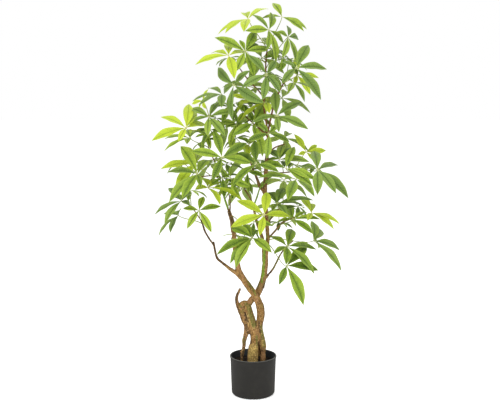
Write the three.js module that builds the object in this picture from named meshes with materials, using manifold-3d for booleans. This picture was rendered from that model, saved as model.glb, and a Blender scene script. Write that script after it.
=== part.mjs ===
// A potted money tree: twisted stems in a round black pot, carrying palmate leaves on thin stalks.
// Millimetres, +Z up. The origin is the centre of the pot's flat base, and the viewer is on the -Y side.

import * as THREE from 'three';
import { mergeVertices } from 'three/addons/utils/BufferGeometryUtils.js';
import Module from 'manifold-3d';

const wasm = await Module();
wasm.setup();

// The pot and its filling
const potHeight = 122;
const potRimRadius = 72.5;
const potTopRadius = 70.2;
const potLowRadius = 66.4;
const potCorner = 9;
const potCornerSteps = 3;
const potWall = 2.2;
const potFloor = 3;
const potSides = 36;
const lipHeight = 4.5;
const lipStep = 1;
const lipBevel = 0.8;
const soilHeight = 102;
const soilRise = 2.5;
const soilMoundShare = 0.6;
const soilSides = 24;

// Wood
const domeShare = 0.4;

// What separates two pieces that meet
const seatGap = 0.3;
const leastClearance = 0.15;
const gapSearch = 1;

// Leaves
const bladeThickness = 0.9;
const bladeNarrow = 4;
const bladeWidening = 0.09;
const bladeArch = 0.11;
const bladeFold = 0.3;
const sunkRoot = -0.02;
const sunkHalf = 1.1;
const bladeStations = [{ share: 0.38, width: 0.86 }, { share: 0.7, width: 0.84 }];
const leastWidth = 0.6;
const sideRoom = 0.96;
const leastLeafSize = 52;
const greatestLeafSize = 112;
const tipLengths = [0.25, 0.5, 0.72, 0.9];
const shortWeight = 0.5;
const leafDroop = 0.2;
const roomyTurn = 0.62;
const crowdingWeight = 2;
const leanWeight = 0.16;
const outwardShare = 0.5;
const crownHalfWidth = 160;
const hubTop = 0.8;
const hubDepth = 1.8;
const notchHalf = 1.3;
const leastNotch = 1.8;
const greatestNotch = 8;
const wideOpening = THREE.MathUtils.degToRad(140);
const leastTurn = THREE.MathUtils.degToRad(24);
const steepest = THREE.MathUtils.degToRad(125);
const leastSlit = 0.05;
const nearShare = 0.09;
const testShare = 0.3;
const testHalf = 3;
const stalkLowRadius = 1.6;
const stalkHighRadius = 1.3;
const greatestScrap = 25;
const leastFan = 3;
const stalkSides = 4;
const stalkSteps = 3;
const stalkReach = 62;
const stalkHandle = 0.35;
const stalkRise = 0.6;
const stalkEase = 0.45;
const stalkBearers = 7;
const bearerRadius = 8.6;
const bearerSpacing = 16;
const bearerDrop = 12;
const bearerDropWeight = 1.2;
const lowestBearer = 470;
const depthStep = 8;
const depthTries = 30;

// Directions that the upper side of a leaf may face, spread round the light that comes over the viewer
const faceUp = new THREE.Vector3(0, -0.55, 0.83).normalize();
const leans = [15, 30, 45, 60].map((degrees) => THREE.MathUtils.degToRad(degrees));
const headingCount = 12;
const headings = Array.from({ length: headingCount }, (_, i) => 2 * Math.PI * i / headingCount);
const upperSides = [faceUp, ...leans.flatMap((lean) => headings.map((heading) => faceUp.clone()
  .applyAxisAngle(new THREE.Vector3(1, 0, 0), lean)
  .applyAxisAngle(faceUp, heading)))];

// The view of the photograph: a pixel and a depth along Y give a place in the part's frame.
const view = { distance: 2600, height: 922, side: -9.9, pitch: 6.9, focal: 861, middle: [250, 200] };
const eye = new THREE.Vector3(view.side, -view.distance, view.height);

function placeOf(u, v, depth) {
  const pitch = THREE.MathUtils.degToRad(view.pitch);
  const slope = (view.middle[1] - v) / view.focal;
  const forward = depth + view.distance;
  const rise = forward * Math.tan(Math.atan(slope) - pitch);
  const along = forward * Math.cos(pitch) - rise * Math.sin(pitch);
  const across = (u - view.middle[0]) / view.focal * along;
  return new THREE.Vector3(view.side + across, depth, view.height + rise);
}

// Wood: each limb is a line of [pixel u, pixel v, depth, radius], from its foot to its tip.
const limbs = [
  // Front stem, from its lobe in the soil to the flat knob in the middle
  { sides: 7, line: [[253, 378, -4, 13], [253, 361, -8, 17.5], [254, 345, -6, 15], [254.3, 340, -4, 12.5],
    [254, 333, -2, 13], [251.5, 322, 2, 12], [249, 312, 5, 12], [247.2, 304.5, 6, 13.5],
    [246, 300.5, 6, 10]] },
  // From the knob through the crossing, up the right limb to its fork
  { sides: 7, line: [[247.5, 307, 7, 8], [251, 299.5, 9, 9], [255, 296, 9, 9.5], [258, 291, 8, 10],
    [262.5, 280, 6, 9], [265, 265, 3, 8], [265.3, 250, 2, 7.6], [267.5, 240, 2, 5.4],
    [267, 228, 3, 5.4], [265.5, 205, 4, 6], [265, 190, 4, 6.5], [265.7, 176, 4, 6.4],
    [266.5, 163, 5, 6.4], [267.2, 152, 5, 5.2], [268, 140, 5, 4.6], [267.8, 128, 5, 4]] },
  // Right stem, in front at the crossing, up the left limb to its blunt end
  { sides: 7, line: [[263.5, 378, 3, 6], [263.5, 359, 2, 7.5], [263.2, 350, 1, 10], [263, 344, 0, 10.5],
    [260, 333, -2, 10.5], [259.6, 327, -3, 9.5], [261, 315, -2, 10.8], [260.5, 307, -4, 11],
    [258, 300, -7, 10.5], [254.5, 294.5, -8, 10.5], [249, 287, -8, 10.5], [243.5, 279, -6, 10],
    [239, 271, -4, 9], [237, 262, -2, 8], [234.5, 250, 0, 7.5], [232.8, 238, 0, 7], [232, 225, 0, 7.4],
    [230.5, 216, 0, 7], [229, 210.5, 0, 5.4]] },
  // Left stem, from its thin root to its horn beside the crossing
  { sides: 5, line: [[241, 378, -5, 3.4], [241.3, 359.5, -4, 3.2], [242.3, 353.5, -3, 4.5],
    [243.8, 347, -2, 4.5], [245.2, 340, -1, 6.5], [246.4, 333, 0, 7], [246, 326, 2, 9], [243.5, 318, 4, 10],
    [241, 311, 4, 9.5], [238.3, 306, 3, 7], [236.6, 300, 2, 4.6], [237.5, 295, 1, 4], [239.5, 291, 0, 3],
    [240.4, 288, -1, 2.4]] },
  // Left fork of the right limb
  { sides: 5, line: [[265.2, 252, 1, 6], [263, 240, -4, 5], [260, 231, -6, 4.6], [257, 223, -6, 4.3],
    [254.5, 212, -4, 4], [253, 205, -4, 3.8]] },
  // Its dark twig and its green shoot
  { sides: 4, line: [[253, 207, -4, 3.2], [252, 202, -4, 2.6], [249, 196, -2, 2.5], [245, 190, 0, 2.4],
    [240.5, 183, 4, 2.2], [233, 178, 8, 2]] },
  { sides: 4, line: [[253.3, 208, -4, 3.2], [254.5, 204, -4, 2.6], [257, 197, -6, 2.4], [260, 188, -8, 2.2],
    [263, 185, -10, 2], [267, 181.5, -12, 1.8]] },
  // Left branch with its stub, and the twig that goes on from it
  { sides: 5, line: [[240, 273, -4, 6], [237, 271.5, -4, 5.6], [232, 270.5, -5, 5.3], [228, 268, -6, 5],
    [222.5, 262.5, -6, 4], [217.5, 257.8, -6, 4.2], [215.7, 252, -5, 3.3], [214.5, 247, -4, 3.3],
    [213.5, 241, -4, 3.2]] },
  { sides: 4, line: [[214.5, 247, -4, 2.8], [213, 244.5, -4, 2.5], [209, 239, -6, 2.3],
    [205.5, 232.5, -8, 2.3], [204.5, 229, -8, 2.2], [202.5, 225, -8, 1.9], [201, 221, -6, 1.7],
    [196, 213, 0, 1.6], [191, 206, 6, 1.5]] },
  // Thin shoot from the left limb's blunt end, up behind the leaves
  { sides: 4, line: [[229.4, 213, 0, 4], [228.5, 210, 0, 3], [226, 203, 2, 2.8], [224, 198, 2, 2.5],
    [222.5, 191, 4, 2.3], [221, 184, 6, 2.1], [219.5, 177, 8, 2], [215, 163, 16, 1.9], [209, 148, 20, 1.8],
    [206, 132, 20, 1.7], [209, 117, 16, 1.6], [216, 104, 12, 1.5]] },
  { sides: 4, line: [[219.8, 179, 8, 2], [214, 176, 10, 1.8], [207, 176, 8, 1.7], [200, 177, 4, 1.6]] },
  // Two reddish stems at the top
  { sides: 5, line: [[267.8, 131, 5, 3.6], [267, 127, 5, 3], [265.5, 117, 4, 3], [264, 108, 2, 2.8],
    [264, 95, 2, 2.7], [265.5, 75, 4, 2.5], [266, 60, 4, 2.3], [268, 42, 4, 2]] },
  { sides: 5, line: [[268, 131, 5, 3.6], [268.7, 128, 6, 3], [271, 117, 8, 2.9], [274, 105, 10, 2.7],
    [279, 92, 10, 2.5], [287, 77, 8, 2]] },
  // Side shoots high on the right limb
  { sides: 4, line: [[264.8, 194, 4, 4.5], [262.5, 190, 2, 4.6], [259.8, 186.5, 0, 4.8],
    [257.5, 180, 0, 4.6], [255, 174, 2, 3], [252.5, 168.5, 4, 2.3], [250, 160, 8, 2], [247, 148, 14, 1.8]] },
  { sides: 4, line: [[266.5, 160, 5, 3.4], [270, 152, 12, 2.6], [276, 147, 22, 2.2], [285, 144, 34, 1.8]] },
  { sides: 4, line: [[265.6, 178, 4, 3.6], [270, 174, 8, 2.6], [279, 173, 12, 2.2], [290, 172, 12, 2],
    [300, 170, 8, 1.8]] },
  { sides: 4, line: [[264.2, 98, 2, 2.6], [258, 90, 8, 2.2], [250, 82, 12, 2], [243, 73, 12, 1.8],
    [238, 66, 8, 1.6]] },
  { sides: 4, line: [[267.5, 136, 5, 3.4], [261, 130, 14, 2.4], [254, 124, 24, 2], [246, 117, 34, 1.8]] },
  // Twigs low on the right
  { sides: 4, line: [[267.4, 240, 2, 3.6], [271, 235.5, -2, 3], [275, 231, -6, 3], [279, 226, -8, 3],
    [282.5, 222.5, -8, 2.8], [290, 219, -6, 2.2], [298, 216, 0, 1.8]] },
  { sides: 4, line: [[263.5, 281, 4, 4.5], [266, 278, 2, 3.4], [268.5, 274.5, 0, 3], [271.5, 271.5, 0, 2.9],
    [275, 264.5, -2, 2.7], [277.5, 260, -4, 2.5], [281, 253.5, -6, 2.2], [286, 247, -2, 1.9],
    [293, 241, 6, 1.7]] },
  // Shoots that carry the far side of the crown
  { sides: 4, line: [[265.3, 186, 5, 4], [266, 180, 24, 2.6], [267, 172, 52, 2.2], [269, 163, 84, 1.8]] },
  { sides: 4, line: [[232.3, 232, 2, 4.4], [231, 224, 22, 2.8], [230, 213, 48, 2.4], [230, 200, 76, 2],
    [227, 185, 96, 1.7]] },
  { sides: 4, line: [[266.8, 228, 5, 3.8], [270, 220, 26, 2.6], [276, 212, 54, 2.2], [283, 205, 82, 1.8]] },
  { sides: 4, line: [[267.6, 134, 6, 3.2], [263, 126, 28, 2.3], [257, 118, 54, 2], [252, 108, 78, 1.7]] },
  // Knots
  { sides: 5, line: [[262, 288.5, 4, 4], [264, 286.5, 0, 3.6]] },
  { sides: 5, line: [[243.6, 349, -3, 3.4], [240.6, 352.5, -5, 3.2]] },
];

// Leaves read off the photograph: the pixel of the hub, its depth, and the pixels of the leaflets' tips.
const youngLeaves = [
  { hub: [248, 19], depth: -10, tips: [[217.5, 35], [225, 33.5], [244, 32], [269, 9], [244.5, 13.5]] },
  { hub: [228.5, 55.5], depth: -90, tips: [[229, 43.5], [211, 53.5], [195, 65], [234.5, 79], [250, 54]] },
  { hub: [186, 128], depth: -70, tips: [[189, 104], [195, 111], [160.5, 117], [151.5, 141], [178, 142],
    [206, 125]] },
  { hub: [266, 102.5], depth: -30, tips: [[240, 121.5], [269.5, 113.5], [238, 106], [276, 100]] },
  { hub: [306, 152], depth: 30, tips: [[294, 134], [317, 145], [326, 150.5], [298, 154.5], [313, 160]] },
  { hub: [208, 187.5], depth: -40, tips: [[199.5, 177.5], [195, 190], [219, 181.5], [220, 205],
    [242.5, 200.5]] },
  { hub: [264, 215], depth: -150, tips: [[267, 192], [236.5, 200.5], [230.5, 227.5], [259.5, 236],
    [290, 216.5]] },
  { hub: [311.5, 213], depth: -40, tips: [[299, 196], [310.5, 203.5], [340, 224.5], [334, 229.5],
    [307.5, 221]] },
  { hub: [249, 145], depth: 40, tips: [[240.5, 137.5], [253, 140.5], [247, 157], [238, 152], [226, 148]] },
  { hub: [203, 101], depth: 40, tips: [[208.5, 89], [199, 109], [192, 104], [206, 109], [210, 99]] },
  { hub: [297, 75], depth: 30, tips: [[319, 78], [296, 56], [294.5, 85.5], [310.5, 95], [288, 70]] },
  { hub: [195.5, 163.5], depth: 10, tips: [[181.5, 146], [160.5, 169], [198.5, 153], [175, 189],
    [200, 165]] },
  { hub: [246, 99.5], depth: 30, tips: [[237, 113], [247, 104], [238, 104], [233, 95], [256, 100]] },
];

const grownLeaves = [
  { hub: [269, 30], depth: -40, tips: [[251.5, 14.5], [245, 31], [271, 12.5], [283.5, 44], [275.5, 63],
    [266.5, 50]] },
  { hub: [282, 17], depth: 20, tips: [[272.5, 3], [260, 19.5], [307, 29.5], [304, 31.5]] },
  { hub: [288, 37], depth: -10, tips: [[287, 25.5], [298, 38.5], [277, 31.5], [282, 58], [296, 63]] },
  { hub: [245, 51.5], depth: -20, tips: [[239.5, 40], [255.5, 31.5], [258.5, 44.5], [268, 50],
    [214.5, 37.5], [235.5, 72], [254, 77]] },
  { hub: [234, 85], depth: -80, tips: [[218, 67.5], [250.5, 70.5], [224, 93], [233, 121], [264, 103]] },
  { hub: [266.5, 74.5], depth: -110, tips: [[248, 55], [241.5, 87.5], [262.5, 100.5], [280.5, 93],
    [280, 83.5], [276, 61]] },
  { hub: [222, 94.5], depth: -50, tips: [[208, 88.5], [192, 101.5], [199, 105.5], [221.5, 107.5]] },
  { hub: [209, 117], depth: -60, tips: [[190.5, 108.5], [191, 122.5], [221, 101.5], [237, 112],
    [225.5, 136.5], [208, 137]] },
  { hub: [190, 138], depth: 10, tips: [[163.5, 139.5], [164, 151.5], [187, 144.5], [187, 130], [198, 131]] },
  { hub: [222, 157.5], depth: -120, tips: [[213.5, 130], [190.5, 151], [247, 143], [251, 163.5],
    [212, 180.5]] },
  { hub: [256.5, 164], depth: -120, tips: [[255, 140.5], [236, 153.5], [232, 186.5], [279, 172]] },
  { hub: [252.5, 123.5], depth: -60, tips: [[232, 136], [256, 141], [262.5, 157], [263.5, 104],
    [246.5, 110]] },
  { hub: [276.5, 116], depth: -80, tips: [[275, 91.5], [302.5, 102.5], [308.5, 129.5], [279, 132.5],
    [252.5, 122.5]] },
  { hub: [269, 133.5], depth: -100, tips: [[257.5, 122.5], [247, 141], [277, 125], [289.5, 142],
    [266.5, 159]] },
  { hub: [279.5, 159.5], depth: -30, tips: [[270, 150.5], [283, 145], [291, 148], [309.5, 162],
    [267, 160.5]] },
  { hub: [286, 168.5], depth: -60, tips: [[262, 163.5], [294.5, 146.5], [312.5, 186], [316, 180]] },
  { hub: [296, 179.5], depth: -110, tips: [[257.5, 178], [314.5, 197], [287.5, 201], [306, 176]] },
  { hub: [317.5, 170], depth: -60, tips: [[314, 151], [299, 167], [338.5, 165.5], [317.5, 195],
    [348.5, 198.5], [336, 193.5]] },
  { hub: [197.5, 174], depth: -90, tips: [[180.5, 146], [167, 172.5], [169, 202.5], [182, 199],
    [201, 187.5], [208, 160]] },
  { hub: [181.5, 201], depth: -60, tips: [[154.5, 215], [164.5, 224], [190, 206], [191, 195], [175, 197],
    [168.5, 188]] },
  { hub: [178.5, 215.5], depth: -20, tips: [[163.5, 214], [158.5, 236.5], [170.5, 233], [180, 210.5]] },
  { hub: [199, 210.5], depth: -90, tips: [[203.5, 196.5], [221, 206.5], [183, 208.5], [187, 229],
    [211.5, 232.5]] },
  { hub: [231, 178], depth: -30, tips: [[225, 188.5], [242.5, 201], [251, 187], [222, 170], [233, 164]] },
  { hub: [252.5, 238], depth: -110, tips: [[231.5, 228], [242, 226], [216.5, 255], [235.5, 268],
    [230, 264], [259.5, 230], [272, 253]] },
  { hub: [277, 204], depth: -30, tips: [[267.5, 192.5], [284, 188], [314, 200.5], [305, 206.5],
    [286.5, 214.5], [272, 211]] },
  { hub: [293, 219.5], depth: -50, tips: [[290, 208], [308, 212.5], [320.5, 219.5], [275, 224],
    [313, 234]] },
  { hub: [287, 246.5], depth: -80, tips: [[291.5, 229], [317, 250], [314.5, 274.5], [273.5, 254],
    [267, 237], [286, 265]] },
  { hub: [313.5, 241], depth: -40, tips: [[312, 221], [320, 229], [340, 250.5], [341.5, 271.5],
    [318, 248]] },
  { hub: [286.5, 266], depth: -120, tips: [[307, 247], [318.5, 270.5], [303.5, 305.5], [279, 285]] },
  { hub: [296, 68], depth: -90, tips: [[308.5, 45], [327, 69.5], [321, 100], [281.5, 84], [282, 62]] },
  { hub: [293.5, 82.5], depth: -30, tips: [[315, 91], [304.5, 102], [288, 93], [281, 80]] },
  { hub: [207, 135], depth: 20, tips: [[202, 148], [195, 137.5], [197.5, 131], [211, 149]] },
  { hub: [237, 124], depth: 10, tips: [[229.5, 147.5], [220.5, 122], [224.5, 127.5], [246, 112]] },
];

// Leaves on the far side of the crown, which lie behind its dense parts. Their leaflets follow a rule.
const farLeaves = [
  { hub: [262, 58], depth: 100 }, { hub: [246, 86], depth: 125 }, { hub: [282, 98], depth: 115 },
  { hub: [260, 116], depth: 170 }, { hub: [228, 126], depth: 125 }, { hub: [284, 138], depth: 130 },
  { hub: [246, 156], depth: 175 }, { hub: [210, 164], depth: 115 }, { hub: [284, 180], depth: 120 },
  { hub: [242, 188], depth: 160 }, { hub: [280, 208], depth: 150 },
];
const farSeed = 7;
const farLeaflets = 5;
const farDroop = 0.28;
const farOutward = 0.7;
const farUnevenness = 0.3;
const farLeastLength = 78;
const farLengthSpread = 24;
const crownMiddle = placeOf(262, 150, 0);

// Numbers from 0 to 1 in a fixed order
const drawFactor = 16807;
const drawRange = 2147483647;
let drawn = farSeed;
function draw() {
  drawn = drawn * drawFactor % drawRange;
  return drawn / drawRange;
}

// Solids

function solidOf(geometry) {
  geometry.deleteAttribute('normal');
  geometry.deleteAttribute('uv');
  const merged = mergeVertices(geometry);
  return new wasm.Manifold(new wasm.Mesh({
    numProp: 3,
    vertProperties: new Float32Array(merged.attributes.position.array),
    triVerts: new Uint32Array(merged.index.array),
  }));
}

function geometryOf(solid) {
  const mesh = solid.getMesh();
  const geometry = new THREE.BufferGeometry();
  geometry.setAttribute('position', new THREE.BufferAttribute(mesh.vertProperties, mesh.numProp));
  geometry.setIndex(new THREE.BufferAttribute(mesh.triVerts, 1));
  geometry.computeVertexNormals();
  return geometry;
}

function geometryFrom(points, triangles) {
  const geometry = new THREE.BufferGeometry().setFromPoints(points);
  geometry.setIndex(triangles.flat());
  return geometry;
}

// A round bar along the given centres, each with its radius, with a low dome at both ends. It can be grown
// all over by an extra thickness.
function barSolid(centres, bareRadii, sides, extra = 0) {
  const radii = bareRadii.map((radius) => radius + extra / Math.cos(Math.PI / sides));
  const last = centres.length - 1;
  const heading = (i) => (
    centres[Math.min(i + 1, last)].clone().sub(centres[Math.max(i - 1, 0)]).normalize()
  );
  const points = [];
  const triangles = [];
  let across = new THREE.Vector3(0, 1, 0).cross(heading(0)).normalize();
  for (let i = 0; i <= last; i += 1) {
    const ahead = heading(i);
    across = across.clone().addScaledVector(ahead, -across.dot(ahead)).normalize();
    const other = ahead.clone().cross(across);
    for (let k = 0; k < sides; k += 1) {
      const turn = 2 * Math.PI * k / sides;
      points.push(centres[i].clone()
        .addScaledVector(across, radii[i] * Math.cos(turn))
        .addScaledVector(other, radii[i] * Math.sin(turn)));
    }
  }
  points.push(centres[0].clone().addScaledVector(heading(0), -radii[0] * domeShare - extra));
  points.push(centres[last].clone().addScaledVector(heading(last), radii[last] * domeShare + extra));
  for (let k = 0; k < sides; k += 1) {
    const next = (k + 1) % sides;
    for (let i = 0; i < last; i += 1) {
      const low = i * sides;
      const high = low + sides;
      triangles.push([low + k, low + next, high + next], [low + k, high + next, high + k]);
    }
    triangles.push([points.length - 2, next, k]);
    triangles.push([points.length - 1, last * sides + k, last * sides + next]);
  }
  return solidOf(geometryFrom(points, triangles));
}

// Trunk

function limbPath(limb) {
  const path = new THREE.CatmullRomCurve3(limb.line.map(([u, v, depth]) => placeOf(u, v, depth)));
  const radii = limb.line.map((row) => row[3]);
  return { path, radii, intervals: radii.length - 1 };
}

function radiusAt({ radii, intervals }, t) {
  const low = Math.min(Math.floor(t * intervals), intervals - 1);
  return THREE.MathUtils.lerp(radii[low], radii[low + 1], t * intervals - low);
}

function limbSolid(limb, extra) {
  const { path, radii, intervals } = limbPath(limb);
  const centres = path.getPoints(intervals);
  return barSolid(centres, radii, limb.sides, extra);
}

function trunkSolid(extra) {
  return limbs.map((limb) => limbSolid(limb, extra)).reduce((whole, limb) => whole.add(limb));
}

// Places on the thin wood that can carry a stalk
function bearingPlaces() {
  const places = [];
  for (const limb of limbs) {
    const route = limbPath(limb);
    const steps = Math.max(1, Math.round(route.path.getLength() / bearerSpacing));
    for (let i = 0; i <= steps; i += 1) {
      const t = i / steps;
      const point = route.path.getPoint(t);
      if (radiusAt(route, t) < bearerRadius && point.z > lowestBearer) places.push(point);
    }
  }
  return places;
}

// Leaves

// The places where a leaflet's tip may lie on the line of sight through its pixel, nearer or further than
// the hub. The shorter the leaflet looks, the more it is foreshortened.
function tipReadings(nearest, sight, span, size) {
  if (span >= size) return [nearest];
  return tipLengths.flatMap((share) => {
    const length = span + (1 - span / size) * share * size;
    const slant = Math.sqrt(length * length - span * span);
    return [-slant, slant].map((way) => nearest.clone().addScaledVector(sight, way));
  });
}

// Where a leaf tends to face: to the light, and outwards from the middle of the crown
function likelySide(hub) {
  const outward = THREE.MathUtils.clamp((hub.x - crownMiddle.x) / crownHalfWidth, -1, 1);
  return faceUp.clone().setX(outwardShare * outward).normalize();
}

// How far a leaf read in one way is from an even, slightly drooping fan under its upper side
function fanCost(arms, normal, size, likely) {
  const across = new THREE.Vector3(1, 0, 0).cross(normal).normalize();
  const other = normal.clone().cross(across);
  const turns = arms.map((arm) => Math.atan2(arm.dot(other), arm.dot(across))).sort((a, b) => a - b);
  const crowding = turns.map((turn, i) => {
    const next = i + 1 < turns.length ? turns[i + 1] : turns[0] + 2 * Math.PI;
    return crowdingWeight * Math.max(0, roomyTurn - (next - turn)) ** 2;
  });
  const tilts = arms.map((arm) => armCost(arm, normal, size));
  const lean = leanWeight * normal.angleTo(likely) ** 2;
  return [...crowding, ...tilts].reduce((sum, cost) => sum + cost, lean);
}

function armCost(arm, normal, size) {
  const tilt = Math.PI / 2 - arm.angleTo(normal) + leafDroop;
  return tilt ** 2 + shortWeight * (1 - arm.length() / size) ** 2;
}

function leastOf(items, cost) {
  return items.reduce((best, item) => (cost(item) < cost(best) ? item : best));
}

// A palmate leaf is nearly flat round its hub. Of the ways to read its tips, the flattest is taken.
function photoForm(leaf, hub) {
  const sights = leaf.tips.map(([u, v]) => placeOf(u, v, hub.y).sub(eye).normalize());
  const toHub = hub.clone().sub(eye);
  const nearest = sights.map((sight) => eye.clone().addScaledVector(sight, toHub.dot(sight)));
  const spans = nearest.map((point) => point.distanceTo(hub));
  const size = THREE.MathUtils.clamp(Math.max(...spans), leastLeafSize, greatestLeafSize);
  const arms = spans.map((span, i) => (
    tipReadings(nearest[i], sights[i], span, size).map((point) => point.sub(hub))
  ));
  const likely = likelySide(hub);
  const forms = upperSides.map((normal) => {
    const chosen = arms.map((readings) => leastOf(readings, (arm) => armCost(arm, normal, size)));
    return { normal, chosen, cost: fanCost(chosen, normal, size, likely) };
  });
  const { normal, chosen } = leastOf(forms, (form) => form.cost);
  return { hub, normal, tips: chosen.map((arm) => arm.clone().add(hub)) };
}

function farForm(leaf, hub) {
  const outward = hub.clone().sub(crownMiddle).setZ(0).normalize();
  const normal = new THREE.Vector3(0, 0, 1).addScaledVector(outward, farOutward).normalize();
  const across = new THREE.Vector3(0, 0, 1).cross(normal).normalize();
  const down = across.clone().cross(normal);
  const tips = leaf.draws.map(({ turn, length }) => hub.clone()
    .addScaledVector(across, length * Math.cos(turn))
    .addScaledVector(down, length * Math.sin(turn))
    .addScaledVector(normal, -length * farDroop));
  return { hub, normal, tips };
}

function leafForm(leaf, depth) {
  const hub = placeOf(...leaf.hub, depth);
  return leaf.tips ? photoForm(leaf, hub) : farForm(leaf, hub);
}

// A leaflet's direction as seen square onto the leaf's upper side
function levelArm(hub, tip, normal) {
  const arm = tip.clone().sub(hub);
  return arm.addScaledVector(normal, -arm.dot(normal));
}

// A leaflet is a thin blade with a sunken rib, arched from the hub to its tip. This gives the corners of
// its upper face beyond the root: left edge, rib and right edge at each station, then the tip. It is
// narrower where its neighbour is close.
function leafletCorners({ hub, normal, tips }, tip) {
  const length = hub.distanceTo(tip);
  const along = tip.clone().sub(hub).normalize();
  const up = normal.clone().addScaledVector(along, -normal.dot(along)).normalize();
  const side = along.clone().cross(up);
  const fullWidth = bladeNarrow + bladeWidening * length;
  const own = levelArm(hub, tip, normal);
  const others = tips.filter((other) => other !== tip);
  const turns = others.map((other) => levelArm(hub, other, normal).angleTo(own));
  const nearestTurn = Math.min(Math.PI, ...turns);
  const room = sideRoom * bladeStations[0].share * length * Math.sin(nearestTurn / 2);
  const halfWidth = THREE.MathUtils.clamp(room / bladeStations[0].width, leastWidth * fullWidth, fullWidth);
  const at = (share, across, lift) => hub.clone()
    .addScaledVector(along, share * length)
    .addScaledVector(up, bladeArch * length * 4 * share * (1 - share) + lift)
    .addScaledVector(side, across);
  const corners = [];
  for (const { share, width } of bladeStations) {
    const half = halfWidth * width;
    corners.push(at(share, -half, half * bladeFold), at(share, 0, 0), at(share, half, half * bladeFold));
  }
  return { at, up, corners: [...corners, at(1, 0, 0)] };
}

// Faces of one side of a blade, counting its two root corners (left, right) and then its other corners
const bladeFaces = [
  [0, 1, 3], [0, 3, 2], [1, 4, 3], [2, 3, 6], [2, 6, 5], [3, 4, 6], [4, 7, 6], [5, 6, 8], [6, 7, 8],
];
const bladeEdge = [1, 4, 7, 8, 5, 2, 0];

function lowered(points, up) {
  return points.map((point) => point.clone().addScaledVector(up, -bladeThickness));
}

// Both faces of a blade and the walls along its edge, for corner numbers given by upper and under
function bladeTriangles(upper, under, edge) {
  const triangles = bladeFaces.flatMap(([a, b, c]) => [
    [upper[a], upper[b], upper[c]],
    [under[a], under[c], under[b]],
  ]);
  edge.slice(1).forEach((to, i) => {
    const from = edge[i];
    triangles.push([upper[to], upper[from], under[from]], [upper[to], under[from], under[to]]);
  });
  return triangles;
}

// A blade by itself, from a root at the given share of its length
function loneLeaflet(form, tip, rootShare, rootHalf) {
  const { at, up, corners } = leafletCorners(form, tip);
  const top = [at(rootShare, -rootHalf, 0), at(rootShare, rootHalf, 0), ...corners];
  const upper = top.map((_, i) => i);
  const under = upper.map((i) => i + top.length);
  const triangles = bladeTriangles(upper, under, [...bladeEdge, bladeEdge[0]]);
  return solidOf(geometryFrom([...top, ...lowered(top, up)], triangles));
}

// The stalk leaves the wood upwards and meets the hub from below
function stalkPath(bearer, { hub, normal }) {
  const length = bearer.distanceTo(hub);
  const straight = hub.clone().sub(bearer).normalize();
  const start = straight.clone().addScaledVector(new THREE.Vector3(0, 0, 1), stalkRise).normalize();
  const end = normal.clone().addScaledVector(straight, stalkEase).normalize();
  return new THREE.CubicBezierCurve3(
    bearer,
    bearer.clone().addScaledVector(start, stalkHandle * length),
    hub.clone().addScaledVector(end, -stalkHandle * length),
    hub,
  );
}

function stalkSolid(path) {
  const centres = path.getPoints(stalkSteps + 1);
  return barSolid(centres, centres.map(() => stalkLowRadius), stalkSides);
}

// Leaflets that fan out round the hub in one thin star, with a notch between each two neighbours, on a
// stalk with a side under each leaflet
function starSolid(form, tips, path) {
  const { hub, normal } = form;
  const across = new THREE.Vector3(1, 0, 0).cross(normal).normalize();
  const other = normal.clone().cross(across);
  const fan = tips.map((tip) => {
    const { up, corners } = leafletCorners(form, tip);
    const root = corners[1].clone().sub(hub).normalize();
    return { up, corners, root, turn: Math.atan2(root.dot(other), root.dot(across)) };
  }).sort((a, b) => a.turn - b.turn);
  const count = fan.length;
  const points = [hub.clone().addScaledVector(normal, hubTop)];
  fan.forEach((leaflet, i) => {
    const next = fan[(i + 1) % count];
    const opening = next.turn - leaflet.turn + (i + 1 < count ? 0 : 2 * Math.PI);
    leaflet.middle = leaflet.turn + opening / 2;
    const level = across.clone().multiplyScalar(Math.cos(leaflet.middle))
      .addScaledVector(other, Math.sin(leaflet.middle));
    const between = opening < wideOpening ? leaflet.root.clone().add(next.root).normalize() : level;
    const half = Math.sin(Math.min(leaflet.root.angleTo(between), Math.PI / 2));
    const reach = THREE.MathUtils.clamp(notchHalf / half, leastNotch, greatestNotch);
    const notch = hub.clone().addScaledVector(between, reach);
    const up = normal.clone().addScaledVector(between, -normal.dot(between)).normalize();
    points.push(notch, ...lowered([notch], up));
  });
  const triangles = [];
  fan.forEach(({ up, corners }, i) => {
    const left = 1 + 2 * i;
    const right = 1 + 2 * ((i + count - 1) % count);
    const first = points.length;
    points.push(...corners, ...lowered(corners, up));
    const upper = [left, right, ...corners.map((_, k) => first + k)];
    const under = [left + 1, right + 1, ...corners.map((_, k) => first + corners.length + k)];
    triangles.push([0, right, left], ...bladeTriangles(upper, under, bladeEdge));
  });
  let ring = fan.map((_, i) => 2 + 2 * i);
  let sideways = across;
  for (let step = 0; step <= stalkSteps; step += 1) {
    const t = (1 - hubDepth / path.getLength()) * (1 - step / stalkSteps);
    const radius = THREE.MathUtils.lerp(stalkLowRadius, stalkHighRadius, t);
    const heading = path.getTangent(t);
    sideways = sideways.clone().addScaledVector(heading, -sideways.dot(heading)).normalize();
    const crossways = heading.clone().cross(sideways);
    const next = ring.map((_, i) => points.length + i);
    fan.forEach(({ middle }) => points.push(path.getPoint(t)
      .addScaledVector(sideways, radius * Math.cos(middle))
      .addScaledVector(crossways, radius * Math.sin(middle))));
    ring.forEach((from, i) => {
      const j = (i + 1) % count;
      triangles.push([next[i], next[j], ring[j]], [next[i], ring[j], from]);
    });
    ring = next;
  }
  points.push(path.getPoint(0));
  ring.forEach((from, i) => triangles.push([points.length - 1, ring[(i + 1) % count], from]));
  return solidOf(geometryFrom(points, triangles));
}

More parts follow.
